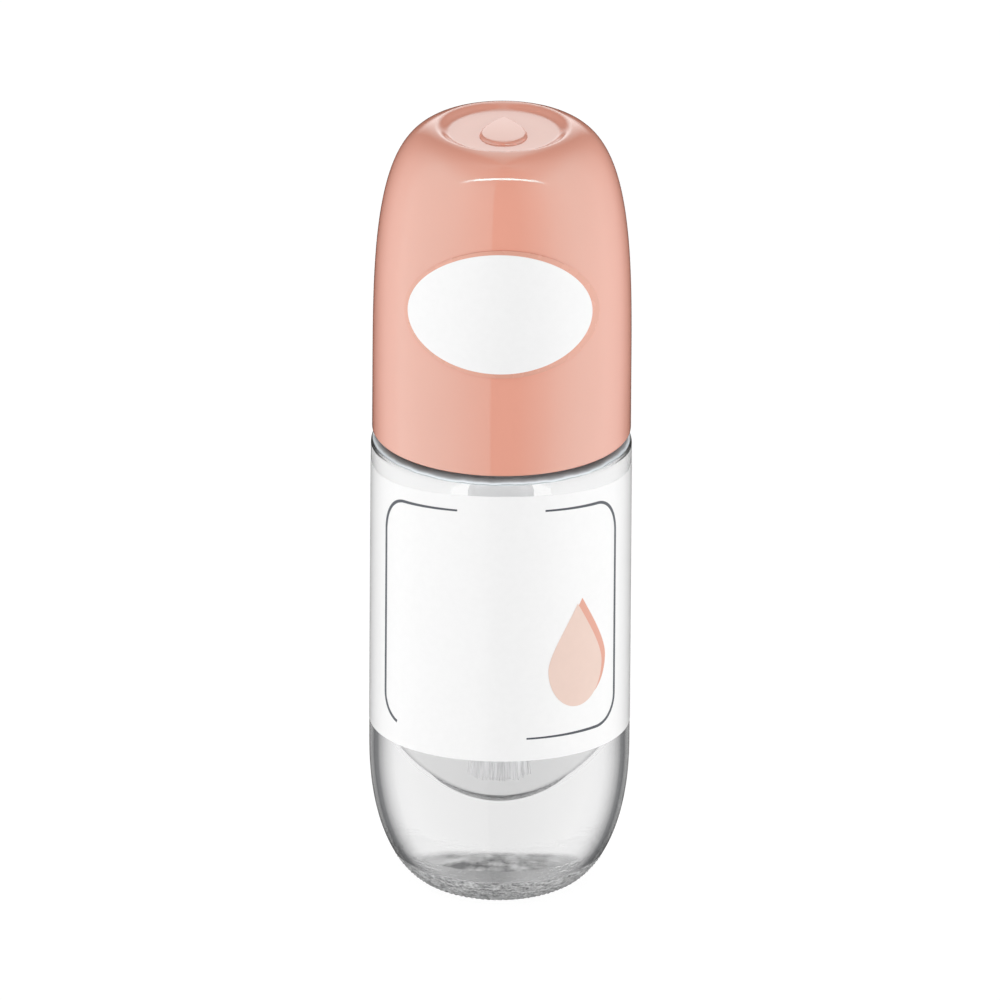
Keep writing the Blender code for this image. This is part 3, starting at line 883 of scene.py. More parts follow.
@dataclass
class Bottle:
    """The thick glass, the oil in it, and the stipple under its foot.

    A rim gives the colours of clear matter from a straight look at 0 to a grazing one at 1, a painted shade
    that darkens the edges. A calm gives the heights between which such a rim gives way to one pale level.
    """

    radius: float = 0.0125
    wall: float = 0.0034
    ring: float = 0.0062
    ring_width: float = 0.0012
    push_up: float = 0.0004
    push_up_shares: Sequence[float] = (0, 0.3, 0.6, 0.8)
    base_height: float = 0.0143
    base_rise: float = 2.23
    base_reach: float = 1.97
    base_steps: int = 72
    floor: float = 0.0096
    bowl: float = 0.0125
    bowl_rise: float = 2.0
    bowl_reach: float = 1.8
    bowl_steps: int = 56
    shoulder: float = 0.0458
    corner: float = 0.00105
    corner_steps: int = 20
    inner_drop: float = 0.0012
    inner_rise: float = 0.004
    inner_steps: int = 32
    neck: float = 0.00575
    neck_wall: float = 0.00215
    neck_height: float = 0.0112
    neck_corner: float = 0.0005
    neck_rows: int = 84
    pitch: float = 0.00212
    ridge: float = 0.0007
    ridge_root: float = 0.0014
    ridge_crest: float = 0.0006
    turns: float = 1.6
    thread_drop: float = 0.0017
    fade: float = 0.12
    fade_end_share: float = 0.25
    sides: int = 224
    glass_index: float = 1.5
    # Painted shade: the glass darkens towards its edges, darkest in a band near a grazing look.
    rim: Stops = (
        (0.0, (0.785, 0.785, 0.785)),
        (0.33, (0.785, 0.785, 0.785)),
        (0.4, (0.74, 0.74, 0.745)),
        (0.45, (0.67, 0.67, 0.675)),
        (0.515, (0.46, 0.46, 0.466)),
        (0.59, (0.2, 0.2, 0.204)),
        (0.67, (0.022, 0.023, 0.025)),
        (0.75, (0.02, 0.021, 0.023)),
        (0.86, (0.35, 0.352, 0.356)),
        (1.0, (0.5, 0.5, 0.5)),
    )
    # Heights where the outer skin's painted edge shade gives way to a pale level.
    edge_shade_calm: Point = (0.0165, 0.0177)
    wall_index: float = 1.045
    # Painted shade of the wall against the oil, dark at a grazing look.
    wall_edge_shade: Stops = (
        (0.0, (0.81, 0.81, 0.812)),
        (0.7, (0.83, 0.83, 0.832)),
        (0.88, (0.3, 0.3, 0.31)),
        (1.0, (0.02, 0.02, 0.022)),
    )
    # Heights where the wall's painted edge shade gives way to a pale level.
    wall_shade_calm: Point = (0.024, 0.03)
    foot_height: float = 0.0032
    foot_overlap: float = 0.0014
    ground_shade_from: float = 0.04527
    ground_shade_inner: Point = (0.0104, 0.0109)
    oil_level: float = 0.0444
    oil_gap: float = 0.00002
    oil_lip: Sequence[Point] = ((0.0014, 0.00036), (0.0005, 0.00033), (0.00015, 0.00024), (0.00002, 0.00012))
    oil_flat: float = 0.003
    oil_index: float = 1.46
    # Painted shade: the oil's edges darken slightly at a grazing look.
    oil_edge_shade: Stops = ((0.0, (1, 1, 1)), (1.0, (0.9, 0.9, 0.9)))
    bead_rings: int = 8
    beads: int = 84
    bead_start: float = 0.0071
    bead_step: float = 0.00042
    bead_turn: float = 0.37
    bead_size: float = 0.000095
    bead_scale: Place = (0.7, 1.9, 0.6)
    # Painted shade: the glass crescents darken towards their edges.
    bead_edge_shade: Stops = ((0.0, (1, 1, 1)), (1.0, (0.6, 0.61, 0.62)))

    @property
    def bore(self) -> float:
        """Radius of the neck's bore."""
        return self.neck - self.neck_wall

    @property
    def top(self) -> float:
        """Height of the mouth."""
        return self.shoulder + self.neck_height

    def thread_radius(self, angle: float, height: float) -> float:
        """Outer radius of the neck at an angle and a height, thread included."""
        start = self.top - self.thread_drop - self.pitch * self.turns
        flank = (self.ridge_root - self.ridge_crest) / 2
        best = 0.0
        for turn in range(-1, math.ceil(self.turns) + 1):
            along = angle / math.tau + turn
            if not 0 <= along <= self.turns:
                continue
            away = abs(height - (start + self.pitch * along))
            share = min(max((self.ridge_root / 2 - away) / flank, 0), 1)
            from_end = min(along, self.turns - along)
            best = max(best, share * min(1, from_end / self.fade + self.fade_end_share))
        return self.neck + self.ridge * best

    def outline(self) -> tuple[list[Point], dict[str, tuple[int, int]]]:
        """The glass's outline, and the stretches of it that have a finish or a shape of their own."""
        inner_edge, ease = self.ring - self.ring_width, self.neck_corner
        under = [(inner_edge * share, self.push_up) for share in self.push_up_shares]
        under += arc((inner_edge - self.push_up, 0), self.push_up, self.push_up, 1, 0)
        base = (self.radius - self.ring, self.base_height, self.base_reach, self.base_rise, self.base_steps)
        rise = [(self.ring + out, self.base_height - down) for out, down in swell(*base)][::-1]
        side = (self.radius - self.corner, self.shoulder - self.corner)
        shoulder = arc(side, self.corner, self.corner, 0, 1, self.corner_steps)
        low, high = self.shoulder + ease, self.top - ease
        foot = arc((self.neck + ease, low), ease, ease, 3, 2)
        rows = [(self.neck, low + (high - low) * row / self.neck_rows) for row in range(1, self.neck_rows)]
        lip = arc((self.neck - ease, high), ease, ease, 0, 1)
        mouth = arc((self.bore + ease, high), ease, ease, 1, 2)
        hollow = self.hollow(0.0)
        points = under + rise + shoulder + foot + rows + lip + mouth + hollow
        corner = len(under) + len(rise)
        neck = corner + len(shoulder) + len(foot)
        wet = next(n for n, point in enumerate(hollow) if point[1] <= self.oil_level)
        stretches = {
            "corner": (corner, corner + len(shoulder)),
            "neck": (neck, neck + len(rows)),
            "wet": (len(points) - len(hollow) + wet, len(points)),
        }
        return points, stretches

    def hollow(self, gap: float) -> list[Point]:
        """The hollow's outline from the bore down to the middle of the bowl.

        Args:
            gap: how far inside the glass it lies.

        Returns:
            Its points, with one at the oil's level.
        """
        cavity = self.radius - self.wall - gap
        spring = self.shoulder - self.inner_drop - self.inner_rise
        bottom = self.floor + self.bowl
        roof = swell(cavity - self.bore, self.inner_rise, 2, 2, self.inner_steps)
        bowl = swell(cavity, self.bowl, self.bowl_reach, self.bowl_rise, self.bowl_steps)
        points = [(self.bore + out, spring + up - gap) for out, up in roof][::-1]
        points += [(out, bottom - down + gap) for out, down in bowl]
        for n, (upper, lower) in enumerate(zip(points, points[1:])):
            if upper[1] > self.oil_level > lower[1]:
                share = (upper[1] - self.oil_level) / (upper[1] - lower[1])
                points.insert(n + 1, (upper[0] + (lower[0] - upper[0]) * share, self.oil_level))
                break
        return points

    def glass(self) -> None:
        """Builds and dresses the glass."""
        points, stretches = self.outline()
        neck, wet, corner = (range(*stretches[part]) for part in ("neck", "wet", "corner"))

        def shape(index: int, angle: float, radius: float, height: float) -> Point:
            """Raises the thread on the neck."""
            return (self.thread_radius(angle, height) if index in neck else radius), height

        piece, segments = turned("glass_body", points, self.sides, shape)
        below = self.shoulder - self.corner
        dress(
            piece,
            Clear("clear_glass_skin", self.glass_index, self.rim, calm=self.edge_shade_calm),
            Clear("glass_against_oil", self.wall_index, self.wall_edge_shade, calm=self.wall_shade_calm),
            KnurledAndShaded("stippled_glass_painted_shade", self.glass_index, self.foot_height, self.rim),
            GroundAndShade("ground_corner_painted_shade", self.glass_index, below, self.shoulder, self.ground_shade_inner),
        )
        for polygon, segment in zip(piece.data.polygons, segments):
            if segment in wet:
                polygon.material_index = 1
            elif polygon.center.z < self.foot_height + self.foot_overlap and segment < neck.start:
                polygon.material_index = 2
            elif segment in corner and polygon.center.z > self.ground_shade_from:
                polygon.material_index = 3
        seat(piece, Body.BOTTLE, Slot.GLASS, "glass_bottle")

    def oil(self) -> None:
        """Builds and dresses the oil: a bulk that shows nothing of its own, and a level top with a lip."""
        points = [point for point in self.hollow(self.oil_gap) if point[1] <= self.oil_level]
        level = self.oil_level - self.oil_lip[0][1]
        top = [(0, level), (self.oil_flat, level)]
        top += [(points[0][0] - reach, self.oil_level - drop) for reach, drop in self.oil_lip]
        piece, segments = turned("oil_fill", top + points, self.sides)
        dress(
            piece,
            Clear("oil_surface", self.oil_index, self.oil_edge_shade),
            Clear("oil_bulk", self.oil_index, self.oil_edge_shade, plain=True),
        )
        for polygon, segment in zip(piece.data.polygons, segments):
            polygon.material_index = 0 if segment < len(top) else 1
        piece.visible_shadow = False
        seat(piece, Body.BOTTLE, Slot.GLASS)

    def stipple(self) -> None:
        """Grows the small glass crescents of the knurled foot, in rings up the rounded base."""
        sizes = {
            "Rings": self.bead_rings,
            "Crescents": self.beads,
            "First Radius": self.bead_start,
            "Ring Step": self.bead_step,
            "Crescent Size": self.bead_size,
        }
        grower = Grower("foot_stipple", sizes)
        graph, many = grower.graph, grower.given("Crescents")
        ring = graph.math("FLOOR", graph.math("DIVIDE", graph.math("ADD", grower.index, 0.5), many))
        reach = graph.math("MULTIPLY_ADD", ring, grower.given("Ring Step"), grower.given("First Radius"))
        along = graph.math("DIVIDE", grower.index, many)
        turn = graph.times(graph.math("MULTIPLY_ADD", ring, self.bead_turn / self.beads, along), math.tau)
        share = graph.math("DIVIDE", graph.math("SUBTRACT", reach, self.ring), self.radius - self.ring)
        fall = graph.math("SUBTRACT", 1.0, graph.math("POWER", share, self.base_reach))
        drop = graph.math("POWER", fall, 1 / self.base_rise)
        up = graph.times(graph.math("SUBTRACT", 1.0, drop), self.base_height)
        ball = {"Segments": 8, "Rings": 4, "Radius": grower.given("Crescent Size")}
        bead = graph.add("GeometryNodeMeshUVSphere", ball).outputs[0]
        long = graph.add("GeometryNodeTransform", {"Geometry": bead, "Scale": self.bead_scale}).outputs[0]
        count = graph.times(grower.given("Rings"), many)
        beads = grower.copies(count, graph.around(reach, turn, up), long, turn)
        piece = grower.grow(beads, Clear("stipple_bead", self.glass_index, self.bead_edge_shade))
        piece.visible_shadow = False
        seat(piece, Body.BOTTLE, Slot.GLASS)

    def build(self) -> None:
        """Builds all of it."""
        self.glass()
        self.oil()
        self.stipple()


@dataclass
class Label:
    """The white film round the bottle, its frame line and its drop figure."""

    bottle: Bottle
    film_gap: float = 0.00001
    thickness: float = 0.00002
    above_base: float = 0.0025
    below_corner: float = 0.0005
    top_bow: float = 0.0012
    bottom_bow: float = 0.0004
    open_share: float = 1 / 24
    steps: int = 184
    rows: int = 12
    line_width: float = 0.000168
    line_stretch: float = 1.35
    line_chord: float = 0.0006
    frame_half: float = 0.0133
    frame_top: float = 0.04265
    frame_bottom: float = 0.01909
    corner_reach: float = 0.0029
    corner_rise: float = 0.0036
    corner_foot_share: float = 0.95
    corner_steps: int = 20
    side_steps: int = 24
    top_gap: Point = (-0.00426, 0.00435)
    bottom_gap: Point = (-0.0112, 0.00262)
    drop_centre: Point = (0.00794, 0.02592)
    drop_half_width: float = 0.00318
    drop_height: float = 0.01072
    drop_shift: Point = (0.00055, 0.0005)
    drop_steps: int = 96
    drop_rings: int = 12

    @property
    def bottom(self) -> float:
        """Height of the film's lower edge at the front."""
        return self.bottle.base_height + self.above_base

    @property
    def top(self) -> float:
        """Height of the film's upper edge at the front."""
        return self.bottle.shoulder - self.bottle.corner - self.below_corner

    @property
    def outside(self) -> float:
        """Radius of the film's printed face."""
        return self.bottle.radius + self.film_gap + self.thickness

    def edges(self, turn: float) -> Point:
        """Heights of the lower and upper edge at a turn from the front."""
        sway = math.sin(turn) ** 2
        return self.bottom - self.bottom_bow * sway, self.top - self.top_bow * sway

    def lay(self, across: float, height: float, lift: float) -> Place:
        """Puts a printed point in its place.

        Args:
            across: distance round the film from its front middle.
            height: its height at the front, which sways with the film's edges.
            lift: how far above the film it lies.

        Returns:
            Its place.
        """
        turn = across / self.outside
        low, high = self.edges(turn)
        share = (height - self.bottom) / (self.top - self.bottom)
        radius = self.outside + lift
        return radius * math.sin(turn), -radius * math.cos(turn), low + share * (high - low)

    def film(self) -> None:
        """Builds the film, open at the back where its ends nearly meet."""
        half = math.pi - math.pi * self.open_share
        loops = []
        for step in range(self.steps + 1):
            turn = -half + 2 * half * step / self.steps
            low, high = self.edges(turn)
            rises = [(high - low) * row / self.rows for row in range(self.rows + 1)]
            loop = [(self.bottle.radius + self.film_gap, low + rise) for rise in rises]
            loop += [(self.outside, high - rise) for rise in rises]
            loops.append([(r * math.sin(turn), -r * math.cos(turn), z) for r, z in loop])
        piece = lofted("label_film", loops)
        dress(
            piece,
            Film("label_white", (0.895, 0.895, 0.895), roughness=0.16, passes=0.9, gloss=0.34),
            # Painted light: the inner side is whiter than the printed face, to make up for the dim light
            # inside the bottle.
            Film("label_inner_side_painted_light", (1.0, 1.0, 1.0), roughness=0.6, passes=0.95, glows=0.88, fibre=0.006),
        )
        count = len(loops[0])
        for number in range(self.steps * count):
            if number % count < self.rows:
                piece.data.polygons[number].material_index = 1
        seat(piece, Body.BOTTLE, Slot.LABEL, "label_wrap")

    def frame_path(self, side: int, top_end: float, bottom_end: float) -> list[Point]:
        """One of the frame line's two stretches, in print directions.

        Args:
            side: -1 for the left one and 1 for the right one.
            top_end, bottom_end: where it starts at the top and ends at the bottom.

        Returns:
            Its points, close enough to follow the film.
        """
        half, low, high = self.frame_half, self.frame_bottom, self.frame_top
        reach, rise = self.corner_reach, self.corner_rise
        foot = reach * self.corner_foot_share
        start, fall = high - rise, high - rise - low - foot
        right = arc((half - reach, start), reach, rise, 1, 0, self.corner_steps)
        right += [(half, start - fall * n / self.side_steps) for n in range(1, self.side_steps)]
        end = arc((half - reach, low + foot), reach, foot, 0, -1, self.corner_steps)
        right += [point for point in end if point[0] >= side * bottom_end]
        path = [(top_end, high)] + [(side * across, up) for across, up in right]
        if side * bottom_end < half - reach:
            path.append((bottom_end, low))
        full = [path[0]]
        for first, second in zip(path, path[1:]):
            parts = max(1, math.ceil(math.dist(first, second) / self.line_chord))
            for part in range(1, parts + 1):
                full.append(tuple(a + (b - a) * part / parts for a, b in zip(first, second)))
        return full

    def prints(self) -> None:
        """Builds the frame line and the two-tone drop."""
        lifts = (PRINT_GAP, PRINT_GAP + PRINT_THICKNESS)
        for name, side, end in (("frame_line_left", -1, 0), ("frame_line_right", 1, 1)):
            path = self.frame_path(side, self.top_gap[end], self.bottom_gap[end])
            turns = [across / self.outside for across, _ in path]
            widths = [self.line_width * (1 + self.line_stretch * math.sin(turn) ** 2) for turn in turns]
            piece = film_line(name, path, widths, self.lay, lifts)
            dress(piece, Film("grey_ink", linear(76, 79, 85), roughness=0.45, gloss=0.3))
            seat(piece, Body.BOTTLE, Slot.LABEL)
        shades = (
            ("drop_shade", linear(219, 161, 143), self.drop_shift, 0),
            ("drop_light", linear(229, 203, 191), (0.0, 0.0), PRINT_THICKNESS),
        )
        for name, colour, shift, rise in shades:
            middle, level = self.drop_centre[0] + shift[0], self.drop_centre[1] + shift[1]
            drop = drop_outline(self.drop_half_width, self.drop_height, self.drop_steps)
            outline = [(middle + across, level + up) for across, up in drop]
            heights = (lifts[0] + rise, lifts[1] + rise)
            piece = film_patch(name, outline, (middle, level), self.drop_rings, self.lay, heights)
            dress(piece, Film(name + "_ink", colour, roughness=0.45))
            seat(piece, Body.BOTTLE, Slot.LABEL)

    def build(self) -> None:
        """Builds all of it."""
        self.film()
        self.prints()


# The cap


@dataclass
class Overcap:
    """The glossy domed shell with its dish and drop, its ribs and its oval film."""

    bottle: Bottle
    finish: Gloss = Gloss("peach_gloss_shell", (0.8, 0.36, 0.268))
    inset: float = 0.0001
    height: float = 0.03144
    dome: float = 0.02467
    dome_rise: float = 3.02
    dome_reach: float = 4.99
    dome_steps: int = 150
    wall: float = 0.0014
    hollow_steps: int = 40
    rim_gap: float = 0.00043
    rim_ease: float = 0.0003
    rim_steps: int = 6
    dish: float = 0.0058
    dish_depth: float = 0.0005
    dish_lip: float = 0.0007
    dish_lip_gap: float = 0.0001
    dish_steps: int = 16
    dish_shares: Sequence[float] = (0.7, 0.45, 0.2, 0)
    drop_half_length: float = 0.0036
    drop_half_width: float = 0.003
    drop_relief: float = 0.0003
    drop_sink: float = 0.0001
    drop_ease_share: float = 0.16
    drop_points: int = 96
    drop_steps: int = 10
    ribs: int = 12
    rib_thickness: float = 0.0008
    rib_step: float = 0.0014
    rib_stop: float = 0.003
    grip: float = 0.00835
    rib_bottom: float = 0.04803
    rib_seat: float = 0.0608
    sticker_half_width: float = 0.0092
    sticker_half_height: float = 0.0063
    sticker_thickness: float = 0.00008
    sticker_above: float = 0.00999
    sticker_look: float = math.radians(15)
    sticker_points: int = 144
    sticker_rings: int = 24
    film_gap: float = 0.00005
    print_share: Point = (0.948, 0.934)
    print_shift: float = -0.00021
    lay_rounds: int = 12
    sides: int = 224

    @property
    def radius(self) -> float:
        """Outer radius."""
        return self.bottle.radius - self.inset

    @property
    def rim(self) -> float:
        """Height of the lower rim."""
        return self.bottle.shoulder + self.rim_gap

    @property
    def dome_start(self) -> float:
        """Height where the dome begins."""
        return self.rim + self.height - self.dome

    def radius_at(self, height: float) -> float:
        """Outer radius at a height."""
        share = min(max((height - self.dome_start) / self.dome, 0), 1)
        return self.radius * (1 - share**self.dome_rise) ** (1 / self.dome_reach)

    def height_at(self, radius: float) -> float:
        """Height of the dome above a radius."""
        share = min(radius / self.radius, 1)
        return self.dome_start + self.dome * (1 - share**self.dome_reach) ** (1 / self.dome_rise)

    def domed(self, reach: float, rise: float, steps: int) -> list[Point]:
        """A dome's outline from its widest level to its top."""
        curve = swell(reach, rise, self.dome_reach, self.dome_rise, steps)
        return [(out, self.dome_start + up) for out, up in curve]

    def shell(self) -> None:
        """Builds the shell."""
        ease, lip = self.rim_ease, self.dish + self.dish_lip
        brink = self.height_at(lip)
        floor = brink - self.dish_depth
        outline = [(self.radius - self.wall, self.rim)]
        outline += arc((self.radius - ease, self.rim + ease), ease, ease, 3, 4, self.rim_steps)
        dome = self.domed(self.radius, self.dome, self.dome_steps)
        outline += [point for point in dome if point[0] > lip + self.dish_lip_gap]
        for step in range(self.dish_steps + 1):
            share = step / self.dish_steps
            drop = self.dish_depth * (1 - math.cos(math.pi * share)) / 2
            outline.append((lip - 2 * self.dish_lip * share, brink - drop))
        outline += [(self.dish * share, floor) for share in self.dish_shares]
        hollow_rise = floor - self.wall - self.dome_start
        outline += self.domed(self.radius - self.wall, hollow_rise, self.hollow_steps)[::-1]
        piece, _ = turned("cap_shell", outline, self.sides)
        dress(piece, self.finish)
        seat(piece, Body.CAP, Slot.CAP, "overcap")
        self.drop_mark(floor)

    def drop_mark(self, floor: float) -> None:
        """Builds the plain raised drop in the dish, with a soft edge."""
        loops = []
        for step in range(self.drop_steps + 1):
            slope = step / self.drop_steps * math.pi / 2
            scale = 1 - self.drop_ease_share * (1 - math.cos(slope))
            up = floor - self.drop_sink + (self.drop_relief + self.drop_sink) * math.sin(slope)
            loop = []
            for point in range(self.drop_points):
                angle = math.tau * point / self.drop_points
                across = self.drop_half_width * math.sin(angle) * math.sin(angle / 2)
                loop.append((across * scale, self.drop_half_length * math.cos(angle) * scale, up))
            loops.append(loop)
        piece = lofted("cap_drop_mark", loops)
        dress(piece, self.finish)
        seat(piece, Body.CAP, Slot.CAP)

    def rib_ring(self) -> None:
        """Grows the upright ribs inside that grip and stop the closure."""
        outer = self.radius - self.wall / 2
        sizes = {
            "Ribs": self.ribs,
            "Thickness": self.rib_thickness,
            "Grip Depth": outer - self.grip,
            "Grip Height": self.rib_seat - self.rib_bottom,
            "Stop Depth": outer - (self.grip - self.rib_step),
            "Stop Height": self.rib_stop,
            "Outer Radius": outer,
            "Bottom": self.rib_bottom,
        }
        grower = Grower("cap_ribs", sizes)
        graph = grower.graph
        rib = graph.add("GeometryNodeJoinGeometry")
        for label, base in (("Grip", 0.0), ("Stop", self.rib_seat - self.rib_bottom)):
            depth, height = grower.given(label + " Depth"), grower.given(label + " Height")
            size = graph.joined(depth, grower.given("Thickness"), height)
            bar = graph.add("GeometryNodeMeshCube", {"Size": size}).outputs[0]
            offset = graph.joined(graph.times(depth, -0.5), z=graph.math("MULTIPLY_ADD", height, 0.5, base))
            moved = graph.add("GeometryNodeTransform", {"Geometry": bar, "Translation": offset}).outputs[0]
            graph.tree.links.new(moved, rib.inputs[0])
        count = grower.given("Ribs")
        turn = graph.times(graph.math("DIVIDE", grower.index, count), math.tau)
        place = graph.around(grower.given("Outer Radius"), turn, grower.given("Bottom"))
        piece = grower.grow(grower.copies(count, place, rib.outputs[0], turn), self.finish)
        piece.data.shade_flat()
        seat(piece, Body.CAP, Slot.CAP)

    def lay(self, across: float, up: float, lift: float) -> Place:
        """Puts a point of the oval in its place on the cap.

        Args:
            across: distance from the front middle, straight across.
            up: distance above the oval's middle, as someone looking down a little sees it.
            lift: how far above the cap it lies.

        Returns:
            Its place.
        """
        level = self.dome_start + self.sticker_above + up
        height = level
        for _ in range(self.lay_rounds):
            radius = self.radius_at(height)
            depth = math.sqrt(max(radius**2 - across**2, 0))
            height = level + (depth - self.radius) * math.tan(self.sticker_look)
        out = (radius + lift) / radius
        return across * out, -depth * out, height

    def oval_piece(
        self, name: str, share: Point, shift: float, lifts: Point, finish: Film
    ) -> bpy.types.Object:
        """Builds one layer of the oval.

        Args:
            name: the piece's name.
            share: its share of the film's width and height.
            shift: how far it is set off to one side.
            lifts: how far its lower and upper faces lie above the cap.
            finish: its finish.

        Returns:
            The piece.
        """
        outline = []
        for point in range(self.sticker_points):
            angle = math.tau * point / self.sticker_points
            across = self.sticker_half_width * math.cos(angle) * share[0] + shift
            up = self.sticker_half_height * math.sin(angle) / math.cos(self.sticker_look) * share[1]
            outline.append((across, up))
        piece = film_patch(name, outline, (shift, 0), self.sticker_rings, self.lay, lifts)
        dress(piece, finish)
        return piece

    def oval(self) -> None:
        """Builds the clear film with its tinted border and the white print on it."""
        border = Film("oval_border", linear(218, 160, 141), roughness=0.25)
        white = Film("oval_white", (0.87, 0.87, 0.87), roughness=0.35)
        lifts = (self.film_gap, self.film_gap + self.sticker_thickness)
        piece = self.oval_piece("oval_film", (1.0, 1.0), 0.0, lifts, border)
        seat(piece, Body.CAP, Slot.OVAL, "cap_sticker")
        lifts = (lifts[1] + PRINT_GAP, lifts[1] + PRINT_GAP + PRINT_THICKNESS)
        piece = self.oval_piece("oval_print", self.print_share, self.print_shift, lifts, white)
        seat(piece, Body.CAP, Slot.OVAL)

    def build(self) -> None:
        """Builds all of it."""
        self.shell()
        self.rib_ring()
        self.oval()


# The closure and the brush


@dataclass
class Closure:
    """The inner cap and its washer, which keep their solids' shape."""

    cap: Moulded = Moulded("closure_white", (0.86, 0.86, 0.85), roughness=0.42)
    liner: Moulded = Moulded(
        "liner_foam", (0.84, 0.84, 0.82), roughness=0.75, grain=(5200.0, 5200.0, 5200.0), relief=0.00002
    )

    def build(self) -> None:
        """Dresses both."""
        dress(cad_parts["inner_cap"], self.cap)
        dress(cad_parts["seal_washer"], self.liner)
        LOG.info("inner_cap and seal_washer keep their solids")


@dataclass
class Brush:
    """The stem, the tuft of nylon bristles and the staple that holds it."""

    stem_radius: float = 0.0021
    stem_end: float = 0.0225
    stem_step: float = 0.004
    stem_rows: int = 7
    stem_sides: int = 96
    collar_radius: float = 0.0049
    collar_bottom: float = 0.0582
    collar_top: float = 0.0592
    spigot_radius: float = 0.0024
    spigot_height: float = 0.0036
    socket_wall: float = 0.00035
    socket_depth: float = 0.005
    edge_ease: float = 0.0002
    edge_steps: int = 5
    wet_level: float = 0.0378
    root_bottom: float = 0.0247
    root_top: float = 0.0255
    root_radius: float = 0.0016
    root_sides: int = 48
    strands: int = 420
    strand_inset: float = 0.00009
    strand_start: float = 0.0003
    strand_radius: float = 0.00006
    strand_taper: float = 0.45
    strand_length: float = 0.0135
    strand_points: int = 7
    strand_sides: int = 5
    spread: float = 0.27
    lean: float = 0.00035

    def stem(self) -> None:
        """Builds the stem with softly rounded edges."""
        ease, steps, half = self.edge_ease, self.edge_steps, self.socket_wall / 2
        top = self.collar_top + self.spigot_height
        socket_top = self.stem_end + self.socket_depth
        collar = self.collar_radius - ease
        outline = [(0, top)]
        outline += arc((self.spigot_radius - ease, top - ease), ease, ease, 1, 0, steps)
        outline += [(self.spigot_radius, self.collar_top)]
        outline += arc((collar, self.collar_top - ease), ease, ease, 1, 0, steps)
        outline += arc((collar, self.collar_bottom + ease), ease, ease, 0, -1, steps)
        rows = range(self.stem_rows + 1)
        outline += [(self.stem_radius, self.collar_bottom - self.stem_step * row) for row in rows]
        outline += arc((self.stem_radius - half, self.stem_end + half), half, half, 0, -2, 2 * steps)
        outline += [(self.stem_radius - self.socket_wall, socket_top), (0, socket_top)]
        piece, _ = turned("stem_rod", outline, self.stem_sides)
        # Painted light: the stem is lighter above the oil's level than below it, to make up for the shade
        # under the cap.
        finish = Film(
            "stem_frosted",
            (0.9, 0.903, 0.908),
            roughness=0.12,
            passes=0.85,
            glows=0.45,
            fibre=0.03,
            gloss=0.9,
            wet_below=self.wet_level,
        )
        dress(piece, finish)
        seat(piece, Body.BRUSH, Slot.STEM, "brush_stem")

    def tuft(self) -> None:
        """Grows the bristles from their root and builds the root."""
        nylon = Film(
            "bristle_nylon",
            (0.87, 0.87, 0.875),
            passes=0.75,
            glows=0.35,
            fibre=0.28,
            gloss=0.12,
            grain=(5200.0, 5200.0, 90.0),
        )
        sizes = {
            "Strands": self.strands,
            "Root Radius": self.root_radius - self.strand_inset,
            "Root Height": self.root_bottom + self.strand_start,
            "Length": self.strand_length,
            "Strand Radius": self.strand_radius,
            "Spread": self.spread,
            "Lean": self.lean,
        }
        grower = Grower("tuft_strands", sizes)
        graph, count = grower.graph, grower.given("Strands")
        share = graph.math("DIVIDE", graph.math("ADD", grower.index, 0.5), count)
        reach = graph.times(graph.math("POWER", share, 0.5), grower.given("Root Radius"))
        place = graph.around(reach, graph.times(grower.index, GOLDEN_ANGLE), grower.given("Root Height"))
        tip = graph.joined(z=graph.times(grower.given("Length"), -1.0))
        line = graph.add("GeometryNodeCurvePrimitiveLine", {"End": tip}).outputs[0]
        many = grower.copies(count, place, line)
        real = graph.add("GeometryNodeRealizeInstances", {0: many}).outputs[0]
        fine = graph.add("GeometryNodeResampleCurve", {"Curve": real, "Count": self.strand_points}).outputs[0]
        along = graph.add("GeometryNodeSplineParameter").outputs["Factor"]
        offset = self.strand_offset(grower, along)
        bent = graph.add("GeometryNodeSetPosition", {"Geometry": fine, "Offset": offset}).outputs[0]
        taper = graph.math("MULTIPLY_ADD", along, -self.strand_taper, 1.0)
        circle = {"Resolution": self.strand_sides, "Radius": grower.given("Strand Radius")}
        ring = graph.add("GeometryNodeCurvePrimitiveCircle", circle).outputs[0]
        skin = {"Curve": bent, "Profile Curve": ring, "Scale": taper, "Fill Caps": True}
        piece = grower.grow(graph.add("GeometryNodeCurveToMesh", skin).outputs[0], nylon)
        piece.visible_shadow = False
        seat(piece, Body.CAP, Slot.BRISTLE, "bristle_tuft")
        outline = [(0, self.root_top), (self.root_radius, self.root_top)]
        outline += [(self.root_radius, self.root_bottom), (0, self.root_bottom)]
        root, _ = turned("tuft_root", outline, self.root_sides)
        dress(root, nylon)
        seat(root, Body.CAP, Slot.BRISTLE)

    def strand_offset(self, grower: Grower, along: Socket) -> Socket:
        """How far a strand's points move off their straight line.

        Args:
            grower: the tuft's tree.
            along: how far down the strand a point is, from 0 to 1.

        Returns:
            The offset: a spread from the axis and a lean of each strand, both growing down the strand.
        """
        graph = grower.graph
        x, y, _ = graph.parts(graph.add("GeometryNodeInputPosition").outputs[0])
        root = graph.joined(x, y)
        spread = graph.vectors("SCALE", root, grower.given("Spread"))
        dice = graph.add("ShaderNodeTexWhiteNoise", {"Vector": root}, noise_dimensions="3D").outputs["Color"]
        centred = graph.vectors("SUBTRACT", dice, (0.5, 0.5, 0.0))
        lean = graph.vectors("SCALE", centred, grower.given("Lean"))
        return graph.vectors("SCALE", graph.vectors("ADD", spread, lean), graph.times(along, along))

    def staple(self) -> None:
        """Dresses the staple, which keeps its solid."""
        finish = Moulded(
            "staple_rolled",
            (0.72, 0.72, 0.74),
            roughness=0.3,
            grain=(1500.0, 1500.0, 18000.0),
            relief=0.000002,
            metallic=1.0,
        )
        dress(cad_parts["tuft_staple"], finish)

    def build(self) -> None:
        """Builds all of it."""
        self.stem()
        self.tuft()
        self.staple()


# The studio


